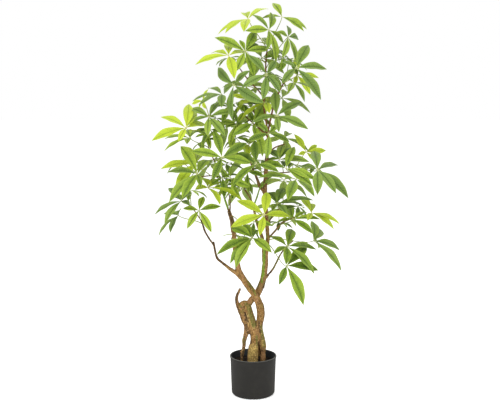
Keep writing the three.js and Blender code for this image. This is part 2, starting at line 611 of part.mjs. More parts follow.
// Leaflets side by side round the hub make the star. One that crosses another, or lies above or below
// it, is joined to the star at the hub.
function sortedLeaflets(form) {
  const { hub, normal, tips } = form;
  const inStar = [];
  const crossing = [];
  for (const tip of tips) {
    const outer = loneLeaflet(form, tip, testShare, testHalf);
    const root = leafletCorners(form, tip).corners[1].clone().sub(hub);
    const level = levelArm(hub, tip, normal);
    const fits = root.angleTo(normal) < steepest && inStar.every((member) => (
      member.level.angleTo(level) > leastTurn && member.outer.minGap(outer, seatGap) > leastSlit
    ));
    const blade = loneLeaflet(form, tip, nearShare, sunkHalf);
    (fits ? inStar : crossing).push({ tip, outer, level, blade });
  }
  return { inStar, crossing };
}

function bearersFor({ hub }, places) {
  const cost = (place) => Math.abs(place.distanceTo(hub) - stalkReach)
    + bearerDropWeight * Math.max(0, place.z - hub.z + bearerDrop);
  return [...places].sort((a, b) => cost(a) - cost(b)).slice(0, stalkBearers);
}

// Placing leaves

function boxesApart(a, b) {
  return [0, 1, 2].some((axis) => (
    a.min[axis] > b.max[axis] + seatGap || b.min[axis] > a.max[axis] + seatGap
  ));
}

function withBox(solid) {
  return { solid, box: solid.boundingBox() };
}

function isClear(solid, others) {
  const box = solid.boundingBox();
  return others.every((other) => (
    boxesApart(box, other.box) || solid.minGap(other.solid, gapSearch) >= leastClearance
  ));
}

// A leaf keeps its pixel and moves along its line of sight until it clears the wood and the other leaves.
function placeLeaf(leaf, wood, woodHull, placed, places) {
  for (let i = 0; i < depthTries; i += 1) {
    const shift = (i % 2 ? 1 : -1) * Math.ceil(i / 2) * depthStep;
    const form = leafForm(leaf, leaf.depth + shift);
    const { inStar, crossing } = sortedLeaflets(form);
    if (inStar.length < leastFan) continue;
    const blades = [...inStar, ...crossing].map(({ blade }) => withBox(blade));
    if (!blades.every((blade) => isClear(blade.solid, [wood, ...placed]))) continue;
    for (const bearer of bearersFor(form, places)) {
      const path = stalkPath(bearer, form);
      const stalk = stalkSolid(path);
      if (!isClear(stalk, [...blades, ...placed])) continue;
      const star = starSolid(form, inStar.map(({ tip }) => tip), path);
      const whole = crossing
        .map(({ tip }) => loneLeaflet(form, tip, sunkRoot, sunkHalf))
        .reduce((joined, leaflet) => joined.add(leaflet), star);
      const parts = whole.subtract(woodHull).decompose().sort((a, b) => b.volume() - a.volume());
      const [body, ...scraps] = parts;
      if (scraps.some((scrap) => scrap.volume() >= greatestScrap)) continue;
      if (isClear(body, [wood, ...placed])) return body;
    }
  }
  return null;
}

// Pieces

function turned(profile, sides) {
  const outline = profile.map(([radius, height]) => new THREE.Vector2(radius, height));
  return new THREE.LatheGeometry(outline, sides).rotateX(Math.PI / 2);
}

function cornerPoints(radius, middle, steps) {
  return Array.from({ length: steps + 1 }, (_, i) => {
    const turn = Math.PI / 2 * (i / steps - 1);
    return [middle[0] + radius * Math.cos(turn), middle[1] + radius * Math.sin(turn)];
  });
}

function potGeometry() {
  const innerTop = potTopRadius - potWall;
  const innerLow = potLowRadius - potWall;
  const corner = cornerPoints(potCorner, [potLowRadius - potCorner, potCorner], potCornerSteps);
  return turned([
    [0, 0],
    ...corner,
    [potTopRadius, potHeight - lipHeight],
    [potRimRadius, potHeight - lipHeight + lipStep],
    [potRimRadius, potHeight - lipBevel],
    [potRimRadius - lipBevel, potHeight],
    [innerTop, potHeight],
    [innerLow, potCorner],
    [innerLow - potCorner + potWall, potFloor],
    [0, potFloor],
  ], potSides);
}

function soilGeometry(woodHull) {
  const innerAt = (height) => THREE.MathUtils.mapLinear(
    height, potCorner, potHeight, potLowRadius - potWall, potTopRadius - potWall,
  );
  const inset = (radius) => (radius - seatGap) * Math.cos(Math.PI / potSides) - seatGap;
  const fill = solidOf(turned([
    [0, potFloor + seatGap],
    [inset(potLowRadius - potCorner), potFloor + seatGap],
    [inset(innerAt(potCorner)), potCorner + seatGap],
    [inset(innerAt(soilHeight)), soilHeight],
    [inset(innerAt(soilHeight)) * soilMoundShare, soilHeight + soilRise],
    [0, soilHeight + soilRise],
  ], soilSides));
  return geometryOf(fill.subtract(woodHull));
}

function piece(name, geometry, look) {
  const mesh = new THREE.Mesh(geometry, new THREE.MeshStandardMaterial(look));
  mesh.name = name;
  return mesh;
}

const tree = new THREE.Group();
tree.name = 'potted_money_tree';

const potLook = { color: 0x3c3a37, roughness: 0.6, metalness: 0 };
const soilLook = { color: 0x241d17, roughness: 1, metalness: 0 };
const woodLook = { color: 0x96733c, roughness: 0.85, metalness: 0 };
const youngLook = { color: 0xbcdc46, roughness: 0.5, metalness: 0 };
const grownLook = { color: 0x5f9033, roughness: 0.5, metalness: 0 };

const trunk = trunkSolid(0);
const trunkHull = trunkSolid(seatGap);
tree.add(piece('pot', potGeometry(), potLook));
tree.add(piece('soil', soilGeometry(trunkHull), soilLook));
tree.add(piece('trunk', geometryOf(trunk), woodLook));

for (const leaf of farLeaves) {
  const start = draw();
  leaf.draws = Array.from({ length: farLeaflets }, (_, i) => ({
    turn: 2 * Math.PI * (i + start + farUnevenness * (draw() - 0.5)) / farLeaflets,
    length: farLeastLength + farLengthSpread * draw(),
  }));
}

function numbered(kind, leaves, look) {
  return leaves.map((leaf, i) => {
    const number = String(i + 1).padStart(2, '0');
    return { ...leaf, look, name: `${kind}_${number}` };
  });
}

// The leaves nearest the viewer are placed first, so that they keep their own depth.
const leaves = [
  ...numbered('young_leaf', youngLeaves, youngLook),
  ...numbered('leaf', [...grownLeaves, ...farLeaves], grownLook),
].sort((a, b) => a.depth - b.depth);

const wood = withBox(trunk);
const bearing = bearingPlaces();
const placed = [];
for (const leaf of leaves) {
  const solid = placeLeaf(leaf, wood, trunkHull, placed, bearing);
  if (!solid) throw new Error(`${leaf.name} finds no clear place`);
  placed.push(withBox(solid));
  tree.add(piece(leaf.name, geometryOf(solid), leaf.look));
}

export default tree;
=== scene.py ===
import math
import random

import bmesh
import bpy
import numpy as np
from mathutils import Color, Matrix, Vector, noise
from mathutils.bvhtree import BVHTree
from mathutils.geometry import interpolate_bezier
from mathutils.kdtree import KDTree


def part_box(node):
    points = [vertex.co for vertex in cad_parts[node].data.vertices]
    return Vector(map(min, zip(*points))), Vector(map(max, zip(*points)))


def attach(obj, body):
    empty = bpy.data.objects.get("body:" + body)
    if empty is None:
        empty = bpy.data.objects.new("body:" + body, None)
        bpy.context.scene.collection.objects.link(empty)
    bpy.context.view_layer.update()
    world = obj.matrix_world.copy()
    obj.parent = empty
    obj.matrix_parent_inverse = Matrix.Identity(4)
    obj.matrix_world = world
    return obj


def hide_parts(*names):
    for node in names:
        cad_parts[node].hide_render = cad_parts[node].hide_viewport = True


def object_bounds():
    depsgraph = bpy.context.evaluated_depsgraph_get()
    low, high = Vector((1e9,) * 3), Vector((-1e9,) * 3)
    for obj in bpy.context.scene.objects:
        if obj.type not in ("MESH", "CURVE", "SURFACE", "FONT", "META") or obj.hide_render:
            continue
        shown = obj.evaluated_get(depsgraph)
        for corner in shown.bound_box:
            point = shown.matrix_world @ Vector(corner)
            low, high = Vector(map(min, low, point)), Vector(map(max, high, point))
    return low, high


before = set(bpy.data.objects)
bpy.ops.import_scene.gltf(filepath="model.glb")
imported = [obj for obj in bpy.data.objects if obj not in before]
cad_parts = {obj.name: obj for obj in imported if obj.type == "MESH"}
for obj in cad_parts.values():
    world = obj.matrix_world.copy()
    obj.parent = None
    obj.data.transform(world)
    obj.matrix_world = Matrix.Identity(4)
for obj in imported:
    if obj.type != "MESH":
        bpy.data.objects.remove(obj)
cadCorners = [list(corner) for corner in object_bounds()]
body = "root"


def arithmetic(operation):  # an operator between a wire and a value, and its reflected form
    return (lambda wire, value: wire.sheet.work(operation, wire, value),
            lambda wire, value: wire.sheet.work(operation, value, wire))


# A socket of a node tree. Arithmetic on it adds Math nodes, or Vector Math nodes where a vector takes part.
class Wire:
    def __init__(self, sheet, socket):
        self.sheet = sheet
        self.socket = socket

    def output(self, key):  # another output of the same node
        return Wire(self.sheet, self.socket.node.outputs[key])

    __add__, __radd__ = arithmetic("ADD")
    __sub__, __rsub__ = arithmetic("SUBTRACT")
    __mul__, __rmul__ = arithmetic("MULTIPLY")
    __truediv__, __rtruediv__ = arithmetic("DIVIDE")


def isVector(value):
    return isinstance(value, (tuple, Vector)) or isinstance(value, Wire) and value.socket.type == "VECTOR"


# A node tree that is being filled, and the material or world that it belongs to
class NodeSheet:
    def __init__(self, tree, owner=None):
        self.tree = tree
        self.owner = owner

    # Adds a node: its settings by name first, then the values or links of its sockets
    def node(self, kind, sockets=None, output=0, **settings):
        made = self.tree.nodes.new(kind)
        for name, value in settings.items():
            setattr(made, name, value)
        for key, value in (sockets or {}).items():
            if isinstance(value, Wire):
                self.tree.links.new(value.socket, made.inputs[key])
            else:
                made.inputs[key].default_value = value
        return Wire(self, made.outputs[output]) if made.outputs else None

    def work(self, operation, *values):
        if not any(isVector(value) for value in values):
            return self.node("ShaderNodeMath", dict(enumerate(values)), operation=operation)
        if operation == "MULTIPLY" and not all(isVector(value) for value in values):
            vector, factor = sorted(values, key=isVector, reverse=True)
            return self.node("ShaderNodeVectorMath", {0: vector, "Scale": factor}, operation="SCALE")
        return self.node("ShaderNodeVectorMath", dict(enumerate(values)), operation=operation)

    def ease(self, value, low, high):  # 0 below low, 1 above high, and smooth between
        return self.node("ShaderNodeMapRange", {"Value": value, "From Min": low, "From Max": high},
                         interpolation_type="SMOOTHSTEP")

    def blend(self, share, first, second):  # first where share is 0, second where it is 1
        return self.node("ShaderNodeMix", {0: share, 6: first, 7: second}, output=2, data_type="RGBA")

    # Lays colours over a base. Each layer has a colour, how strongly it covers, and where its mask has to be
    # eased, the values at which it sets in and is full.
    def cover(self, base, layers, masks):
        for name, (code, strength, *edges) in layers.items():
            mask = self.ease(masks[name], *edges) if edges else masks[name]
            base = self.blend(mask * strength, base, tint(code))
        return base

    def ramp(self, value, stops, codes):  # a colour for each value, from the colours at its stops
        made = self.node("ShaderNodeValToRGB", {0: value})
        elements = made.socket.node.color_ramp.elements
        while len(elements) < len(stops):
            elements.new(1)
        for element, stop, code in zip(elements, stops, codes):
            element.position = stop
            element.color = tint(code)
        return made

    def noise(self, place, size, detail=2.0, roughness=0.5, warp=0.0):  # patches about size metres wide
        return self.node("ShaderNodeTexNoise", {
            "Vector": place, "Scale": 1 / size, "Detail": detail, "Roughness": roughness, "Distortion": warp})

    def place(self, *stretch):  # where a point of the piece is, squeezed along each axis
        here = self.node("ShaderNodeTexCoord", output="Object")
        return here * stretch if stretch else here

    def marks(self, *names):  # numbers that the mesh carries
        return [self.node("ShaderNodeAttribute", output="Fac", attribute_name=name) for name in names]

    def bump(self, height, distance, strength=1.0):
        return self.node("ShaderNodeBump", {"Height": height, "Distance": distance, "Strength": strength})

    def surface(self, **sockets):
        sockets = {name.replace("_", " "): value for name, value in sockets.items()}
        shader = self.node("ShaderNodeBsdfPrincipled", sockets)
        self.node("ShaderNodeOutputMaterial", {"Surface": shader})
        return self.owner


def weighed(waves, weights):  # the sum of the waves, each times its weight
    parts = [wave * weight for wave, weight in zip(waves, weights)]
    return sum(parts[1:], parts[0])


def tint(code):  # a screen colour as the linear values that the nodes mix
    return *Color([int(code[i:i + 2], 16) / 255 for i in (0, 2, 4)]).from_srgb_to_scene_linear(), 1.0


def sheetOf(owner):  # the emptied node tree of a new material or world
    owner.use_nodes = True
    owner.node_tree.nodes.clear()
    return NodeSheet(owner.node_tree, owner)


def materialSheet(name):
    return sheetOf(bpy.data.materials.new(name))


def newObject(name, mesh):
    made = bpy.data.objects.new(name, mesh)
    bpy.context.scene.collection.objects.link(made)
    return made


def meshFrom(name, points, edges=(), faces=(), **marks):
    mesh = bpy.data.meshes.new(name)
    mesh.from_pydata(points, edges, faces)
    mesh.update()
    setMarks(mesh, **marks)
    return mesh


def setMarks(mesh, **marks):  # numbers or vectors, one for each point of the mesh
    for name, values in marks.items():
        values = np.array(values, np.float32)
        kind, field = ("FLOAT_VECTOR", "vector") if values.ndim == 2 else ("FLOAT", "value")
        mesh.attributes.new(name, kind, "POINT").data.foreach_set(field, values.ravel())


def skinOf(*meshes):  # their surface, for finding its nearest point or where a ray meets it
    points, faces = [], []
    for mesh in meshes:
        faces += [[len(points) + i for i in face.vertices] for face in mesh.polygons]
        points += [vertex.co.copy() for vertex in mesh.vertices]
    return BVHTree.FromPolygons(points, faces)


# A geometry tree with named inputs, whose last nodes are Realize Instances and Set Material
class GrowTree(NodeSheet):
    def __init__(self, name, inputs):
        super().__init__(bpy.data.node_groups.new(name, "GeometryNodeTree"))
        face = self.tree.interface
        face.new_socket("Geometry", in_out="OUTPUT", socket_type="NodeSocketGeometry")
        self.keys = {}
        for label, kind in {"Geometry": "Geometry", **inputs, "Material": "Material"}.items():
            socket = face.new_socket(label, in_out="INPUT", socket_type=f"NodeSocket{kind}")
            self.keys[label] = socket.identifier
        self.group = self.tree.nodes.new("NodeGroupInput")

    def given(self, label):
        return Wire(self, self.group.outputs[label])

    def carried(self, name, kind="FLOAT"):
        return self.node("GeometryNodeInputNamedAttribute", {"Name": name}, data_type=kind)

    def join(self, *shapes):
        both = self.node("GeometryNodeJoinGeometry")
        for shape in shapes:
            self.tree.links.new(shape.socket, both.socket.node.inputs[0])
        return both

    def shapeOf(self, label):  # the shape of an object that is given
        return self.node("GeometryNodeObjectInfo", {"Object": self.given(label)}, output="Geometry")

    def tube(self, line, sides):  # as thick as the radius that each point of the line carries
        ring = self.node("GeometryNodeCurvePrimitiveCircle", {"Resolution": sides, "Radius": 1.0})
        return self.node("GeometryNodeCurveToMesh", {
            0: line, "Profile Curve": ring, "Scale": self.carried("radius"), "Fill Caps": True})

    def smooth(self, shape):
        return self.node("GeometryNodeSetShadeSmooth", {0: shape})

    def close(self, shape):
        whole = self.node("GeometryNodeRealizeInstances", {0: shape})
        dressed = self.node("GeometryNodeSetMaterial", {0: whole, "Material": self.given("Material")})
        self.node("NodeGroupOutput", {0: dressed})
        return self

    # The mesh that the tree makes of an object, which is used up
    def grow(self, source, material, values):
        modifier = source.modifiers.new("grow", "NODES")
        modifier.node_group = self.tree
        for label, value in {**values, "Material": material}.items():
            modifier[self.keys[label]] = value
        name = source.name
        mesh = finished(source)
        bpy.data.objects.remove(source)
        mesh.name = name
        return newObject(name, mesh)


def finished(source):  # the mesh that an object's modifiers make
    now = bpy.context.evaluated_depsgraph_get()
    return bpy.data.meshes.new_from_object(source.evaluated_get(now), depsgraph=now)


def applied(source):  # takes an object's modifiers into its mesh
    mesh = finished(source)
    source.modifiers.clear()
    source.data = mesh
    return source


def handIn(piece, node):
    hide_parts(node)
    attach(piece, body)


# Camera
view = {"place": (-0.0099, -2.6, 0.922), "pitch": 6.9, "focalPixels": 861, "pixelsWide": 500,
        "pixelsHigh": 400, "sensor": 36.0}


def addCamera():
    data = bpy.data.cameras.new("camera")
    data.sensor_width = view["sensor"]
    data.lens = view["focalPixels"] * view["sensor"] / view["pixelsWide"]
    camera = newObject("camera", data)
    camera.location = view["place"]
    camera.rotation_euler = (math.radians(90 - view["pitch"]), 0, 0)
    bpy.context.scene.camera = camera


# The place that a pixel of the photograph shows, at a depth along Y in millimetres
def placeOf(u, v, depth):
    pitch = math.radians(view["pitch"])
    slope = (view["pixelsHigh"] / 2 - v) / view["focalPixels"]
    forward = depth / 1000 - view["place"][1]
    rise = forward * math.tan(math.atan(slope) - pitch)
    along = forward * math.cos(pitch) - rise * math.sin(pitch)
    across = (u - view["pixelsWide"] / 2) / view["focalPixels"] * along
    return Vector((view["place"][0] + across, depth / 1000, view["place"][2] + rise))


addCamera()
print("camera placed")


# Leaf finish: shades from dark to bright, and the layers of colour over them. Each of these has its strength,
# and where its mask is eased, the values at which it sets in and is full. A pattern, here and on the other
# pieces, has the size of its patches in metres, and where they aren't plain, its detail, roughness and warp.
# The cool colour is a painted sheen: the bluish grey of the sky's reflection on some leaflets.
leafPaints = {
    "grown": {"shades": ("55701f", "7a972c", "9cb437"), "margin": "b0c548", "cool": "6f8a4e",
              "foldShade": "456219", "vein": "a6bc58", "rib": "33491a", "under": "8ea350", "hub": "d3d99c",
              "stalk": "8f9c4a"},
    "young": {"shades": ("96ae22", "b3c72e", "c0d43a"), "margin": "c6d54a", "cool": "a8c63c",
              "foldShade": "9bb82a", "vein": "d3da5c", "rib": "7f7430", "under": "c3cf60", "hub": "eceaac",
              "stalk": "a9b14a"}}
leafCover = {"margin": (0.5, 0.5, 1.0), "cool": (0.5,), "foldShade": (0.6, 0.58, 0.98), "vein": (0.45,),
             "rib": (0.75,), "under": (0.7,), "hub": (0.8, 0.9025, 0.955), "stalk": (1,)}
leafFinish = {"stops": (0.1, 0.5, 0.9), "patch": (0.013, 3), "patchPull": 0.6, "fleck": (0.0045,),
              "fleckPull": 0.8,
              "veinStep": 0.0062, "veinSlant": 0.45, "veinBend": 25, "veinWidth": 0.3, "veinDip": 0.4,
              "ribFoot": 0.00096, "ribTaper": 0.00056, "ribDip": 0.8, "foldShadeFray": 0.4, "puff": 0.3,
              "grain": (0.0012,), "grainLift": 0.12, "underEdges": (0, 0.08), "ribEdges": (0.5, 1),
              "roughness": 0.5, "patchRoughness": 0.12, "underRoughness": 0.15, "gloss": 0.22,
              "relief": 0.0005}


def leafMaterial(kind):
    paints, finish, sheet = leafPaints[kind], leafFinish, materialSheet(f"{kind}LeafBlade")
    share, offRib, tone, rim, under, onStalk, length, cool = sheet.marks(
        "share", "offRib", "tone", "rim", "under", "onStalk", "length", "cool")
    under = sheet.ease(under, *finish["underEdges"])
    mottle = sheet.noise(sheet.place(), *finish["patch"])
    fleck = sheet.noise(sheet.place(), *finish["fleck"])
    shade = tone + (mottle - 0.5) * finish["patchPull"] + (fleck - 0.5) * finish["fleckPull"]
    slant = offRib * (finish["veinSlant"] + offRib * finish["veinBend"])
    wave = sheet.work("PINGPONG", (share * length - slant) / finish["veinStep"], 0.5) * 2
    vein = 1 - sheet.ease(wave, 0, finish["veinWidth"])
    rib = 1 - sheet.ease(offRib / (finish["ribFoot"] - share * finish["ribTaper"]), *finish["ribEdges"])
    # Beside the rib a darker band is painted, the shade of the leaflet's fold. The margins are paler, partly
    # the leaf's own paler edge and partly a painted highlight where the fold lifts them.
    base = sheet.cover(
        sheet.ramp(shade, finish["stops"], paints["shades"]),
        {name: (paints[name], *row) for name, row in leafCover.items()},
        {"margin": rim, "cool": cool, "foldShade": 1 - rim - (mottle - 0.5) * finish["foldShadeFray"], "vein": vein,
         "rib": rib, "under": under, "hub": 1 - share, "stalk": onStalk})
    grain = sheet.noise(sheet.place(), *finish["grain"])
    height = grain * finish["grainLift"] + wave * finish["puff"]
    height = height - vein * finish["veinDip"] - rib * finish["ribDip"]
    roughness = finish["roughness"] + mottle * finish["patchRoughness"] + under * finish["underRoughness"]
    return sheet.surface(Base_Color=base, Roughness=roughness, Specular_IOR_Level=finish["gloss"],
                         Normal=sheet.bump(height * (1 - onStalk), finish["relief"]))


# Leaves. Their hubs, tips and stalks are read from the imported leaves, so that each keeps its place.
packedBlade = {"thickness": 0.0009, "arch": 0.11, "station": 0.7, "stationWidth": 0.84, "slip": 2e-5,
               "shortest": 0.015, "leastFit": 1e-3, "weld": 1e-6}
leafForm = {"thickness": 0.0005, "arch": 0.085, "fold": 0.26, "waves": 2.2, "waviness": 0.012,
            "waveSkew": 0.8, "bands": 12, "widest": 0.52, "shoulder": 1.1, "foot": 0.045, "footWidth": 0.1,
            "spread": {"grown": 1.02, "young": 0.9}, "leastWidth": 0.15, "toneSpread": 0.35, "cool": 0.9,
            "paintedSheenSpread": 0.4, "stalkLow": 0.0015, "stalkHigh": 0.00105, "stalkSides": 8, "stalkSteps": 10,
            "stalkHandle": 0.26, "stalkRise": 0.4, "stalkEase": 0.8, "stalkSink": 0.0016, "seed": 11}
leafInputs = {"arch": "Float", "fold": "Float", "waves": "Float", "waviness": "Float", "waveSkew": "Float",
              "thickness": "Float", "stalkSides": "Int"}

# How light the leaves are, and the numbers of the grown ones that are painted lighter or darker than the rest
# for the light and shade that falls on them, or that carry the painted sheen
leafTones = {
    "plain": (0.3, 0.65), "young": (0.35, 0.9), "light": (0.6, 0.9), "dark": (0.1, 0.35),
    "lightOnes": (1, 2, 4, 9, 12, 13, 15, 20, 21, 22, 23, 25, 26, 28, 31, 32, 33, 35),
    "darkOnes": (5, 6, 11, 14, 29),
    "paintedSheenOnes": (3, 5, 6, 7, 8, 13, 15, 18, 20, 21, 25, 28, 30, 31, 35)}

trunkSurface = skinOf(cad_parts["trunk"].data)


# Reads one leaflet, if the short edge given is the one across its tip
def readLeaflet(edge):
    share = packedBlade["station"]
    rise = packedBlade["arch"] * 4 * share * (1 - share)
    for tip, low in (edge.verts, reversed(edge.verts)):
        up = (tip.co - low.co) / packedBlade["thickness"]
        around = [link.other_vert(tip).co - tip.co for link in tip.link_edges if link is not edge]
        for rib in around:
            length = rib.length / math.hypot(1 - share, rise)
            along = (up * rise * length - rib) / ((1 - share) * length)
            misfit = max(abs(along.length - 1), abs(along.dot(up)))
            if length < packedBlade["shortest"] or misfit > packedBlade["leastFit"]:
                continue
            side = along.cross(up)
            half = max(abs((corner - rib).dot(side)) for corner in around) / packedBlade["stationWidth"]
            return {"hub": tip.co - along * length, "along": along, "up": up, "length": length, "half": half}
    return None


def readLeaf(node):
    mesh = bmesh.new()
    mesh.from_mesh(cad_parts[node].data)
    bmesh.ops.remove_doubles(mesh, verts=mesh.verts, dist=packedBlade["weld"])
    across = [e for e in mesh.edges if abs(e.calc_length() - packedBlade["thickness"]) < packedBlade["slip"]]
    leaflets = [found for found in map(readLeaflet, across) if found]
    hub = Vector(np.median([leaflet["hub"] for leaflet in leaflets], axis=0))
    leaflets = [leaflet for leaflet in leaflets if (leaflet["hub"] - hub).length < packedBlade["thickness"]]
    sides = np.array([leaflet["along"].cross(leaflet["up"]) for leaflet in leaflets])
    normal = Vector(np.linalg.svd(sides)[2][-1])
    if sum(normal.dot(leaflet["up"]) for leaflet in leaflets) < 0:
        normal.negate()
    found = [trunkSurface.find_nearest(vert.co) for vert in mesh.verts]
    nearest = min(gap for _, _, _, gap in found)
    seats = [seat for seat, _, _, gap in found if gap < nearest + packedBlade["slip"]]
    mesh.free()
    return {"hub": hub, "normal": normal, "leaflets": leaflets, "seat": sum(seats, Vector()) / len(seats)}


# Points and radii of the stalk, which leaves the wood upwards and meets the hub from below
def stalkLine(leaf):
    hub, seat, form = leaf["hub"], leaf["seat"], leafForm
    straight = (hub - seat).normalized()
    seat = seat - straight * form["stalkSink"]
    reach = (hub - seat).length * form["stalkHandle"]
    start = (straight + Vector((0, 0, form["stalkRise"]))).normalized()
    end = (leaf["normal"] + straight * form["stalkEase"]).normalized()
    points = interpolate_bezier(seat, seat + start * reach, hub - end * reach, hub, form["stalkSteps"] + 1)
    return list(zip(points, np.linspace(form["stalkLow"], form["stalkHigh"], len(points))))


# The half width at a share of the length: a narrow foot, then a blade that is widest, with 1, past its middle
def leafletWidth(share):
    peak, end = leafForm["widest"], leafForm["shoulder"]
    inner = max(0, (share - leafForm["foot"]) / (1 - leafForm["foot"]))
    start = end * peak / (1 - peak)
    return max(leafForm["footWidth"], (inner / peak) ** start * ((1 - inner) / (1 - peak)) ** end)


# A flat leaflet: X is the share of its length, and Y the share of its half width. Each row across it is
# its left edge, its rib, its right edge and its under side, and the last point is its tip.
def leafletMesh():
    bands, foot = leafForm["bands"], leafForm["foot"]
    points, rows = [], []
    for share in [0] + [foot + (1 - foot) * i / bands for i in range(bands)]:
        width = leafletWidth(share)
        rows.append(range(len(points), len(points) + 4))
        points += [(share, -width, 0), (share, 0, 0), (share, width, 0), (share, 0, 0)]
    rows.append([len(points)] * 4)
    points.append((1, 0, 0))
    faces = [(3, 2, 1, 0)]
    for low, high in zip(rows, rows[1:]):
        faces += [(low[0], low[1], high[1], high[0]), (low[1], low[2], high[2], high[1]),
                  (low[0], high[0], high[3], low[3]), (low[3], high[3], high[2], low[2])]
    parts = [i % 4 for i in range(len(points))]
    mesh = meshFrom("leaflet", points, faces=[tuple(dict.fromkeys(face)) for face in faces],
                    under=[part == 3 for part in parts], rim=[part in (0, 2) for part in parts])
    for edge in mesh.edges:
        edge.use_edge_sharp = all(parts[end] in (0, 2) for end in edge.vertices)
    return mesh


def palmateTree():
    sheet = GrowTree("palmateLeaf", {
        "leaflet": "Object", "lowest": "Vector", "highest": "Vector", **leafInputs})
    given, carried = sheet.given, sheet.carried
    stalk = sheet.node("GeometryNodeSeparateGeometry", {
        0: given("Geometry"), "Selection": carried("onStalk")}, domain="POINT")
    blades = sheet.node("GeometryNodeInstanceOnPoints", {
        0: stalk.output(1), "Instance": sheet.shapeOf("leaflet")})
    tube = sheet.tube(sheet.node("GeometryNodeMeshToCurve", {0: stalk}), given("stalkSides"))
    shape = sheet.node("GeometryNodeRealizeInstances", {0: sheet.join(blades, tube)})

    here = sheet.node("GeometryNodeInputPosition")
    hub, along, up = (carried(name, "FLOAT_VECTOR") for name in ("hub", "along", "up"))
    length, half = carried("length"), carried("half")
    share = sheet.node("ShaderNodeSeparateXYZ", {0: here - hub})
    across = share.output(1)
    off = sheet.work("ABSOLUTE", across) * half
    arch = given("arch") * length * 4 * share * (1 - share)
    turn = share * given("waves") * math.tau + carried("phase") + across * given("waveSkew")
    wave = sheet.work("SINE", turn) * across * across * length * given("waviness")
    side = sheet.work("CROSS_PRODUCT", along, up)
    lift = arch + off * given("fold") + wave
    bent = hub + along * (share * length) + side * (across * half) + up * lift
    bent = sheet.work("MINIMUM", sheet.work("MAXIMUM", bent, given("lowest")), given("highest"))
    bent = bent - up * (carried("under") * given("thickness"))
    for name, value in (("share", share), ("offRib", off)):
        shape = sheet.node("GeometryNodeStoreNamedAttribute", {0: shape, "Name": name, "Value": value})
    shape = sheet.node("GeometryNodeSetPosition", {
        0: shape, "Selection": 1 - carried("onStalk"), "Position": bent})
    return sheet.close(sheet.smooth(shape))


# A bare point of a leaf. One at the hub for each leaflet tells its form, and a line of them is the stalk.
plainPoint = {"along": Vector((1, 0, 0)), "up": Vector((1, 0, 0)), "length": 0, "half": 0, "phase": 0,
              "tone": 0, "cool": 0, "onStalk": 0, "radius": 0}


def leafPoints(name, leaves, chance, tones, hasPaintedSheen=False, kind="grown"):
    points, edges = [], []
    for leaf in leaves:
        own = chance.uniform(*tones)
        for leaflet in leaf["leaflets"]:
            tone = own + chance.uniform(-1, 1) * leafForm["toneSpread"]
            # The cool share lays the painted sheen, which is strong on the leaves listed as cool.
            cool = leafForm["cool"] * hasPaintedSheen + chance.uniform(-1, 1) * leafForm["paintedSheenSpread"]
            half = max(leaflet["half"] * leafForm["spread"][kind], leaflet["length"] * leafForm["leastWidth"])
            points.append({**plainPoint, **leaflet, "hub": leaf["hub"], "half": half, "tone": tone,
                           "phase": chance.uniform(0, math.tau), "cool": max(0, cool)})
        line = stalkLine(leaf)
        edges += [(len(points) + i, len(points) + i + 1) for i in range(len(line) - 1)]
        points += [{**plainPoint, "hub": place, "onStalk": 1, "radius": radius} for place, radius in line]
    marks = {mark: [point[mark] for point in points] for mark in ("hub", *plainPoint)}
    return newObject(name, meshFrom(name, marks["hub"], edges, **marks))


def growLeaves(source, tree, leaflet, material):
    return tree.grow(source, material, {
        "leaflet": leaflet, "lowest": cadCorners[0], "highest": cadCorners[1],
        **{name: leafForm[name] for name in leafInputs}})


# Small leaves inside the crown, by the pixels of their hubs. Each takes the depth that has the most room.
innerLeaves = {
    "hubs": [(284, 57), (272, 49), (255, 88), (243, 104), (236, 138), (203, 141), (226, 164), (243, 177),
             (225, 186), (293, 164), (298, 206), (279, 222), (251, 227), (238, 187), (190, 190),
             (262, 160), (279, 174), (314, 166), (262, 38), (216, 118), (268, 75), (228, 58),
             (236, 103), (228, 106), (212, 160), (262, 118), (248, 172), (182, 160), (289, 60), (276, 76),
             (222, 178), (254, 222), (240, 236), (210, 130), (282, 161), (238, 120), (250, 60)],
    "depths": range(-10, 111, 12), "stalkCost": 0.12, "length": (0.045, 0.068), "slimness": 0.15, "count": 5,
    "droop": (12, 38), "outward": 0.5, "towardsView": -0.35, "upward": 0.9, "seed": 4,
    "samples": (0.35, 0.7, 1.0), "tones": (0.1, 0.6)}


def innerLeaf(u, v, depth, turn, bends, lengths):
    hub = placeOf(u, v, depth)
    seat = trunkSurface.find_nearest(hub)[0]
    normal = (hub - seat).normalized() * innerLeaves["outward"]
    normal = (normal + Vector((0, innerLeaves["towardsView"], innerLeaves["upward"]))).normalized()
    ahead = normal.orthogonal().normalized()
    leaflets = []
    for i, (bend, length) in enumerate(zip(bends, lengths)):
        angle, droop = turn + math.tau * i / len(bends), math.radians(bend)
        level = ahead * math.cos(angle) + normal.cross(ahead) * math.sin(angle)
        leaflets.append({"along": level * math.cos(droop) - normal * math.sin(droop),
                         "up": level * math.sin(droop) + normal * math.cos(droop),
                         "length": length, "half": length * innerLeaves["slimness"]})
    return {"hub": hub, "normal": normal, "leaflets": leaflets, "seat": seat}


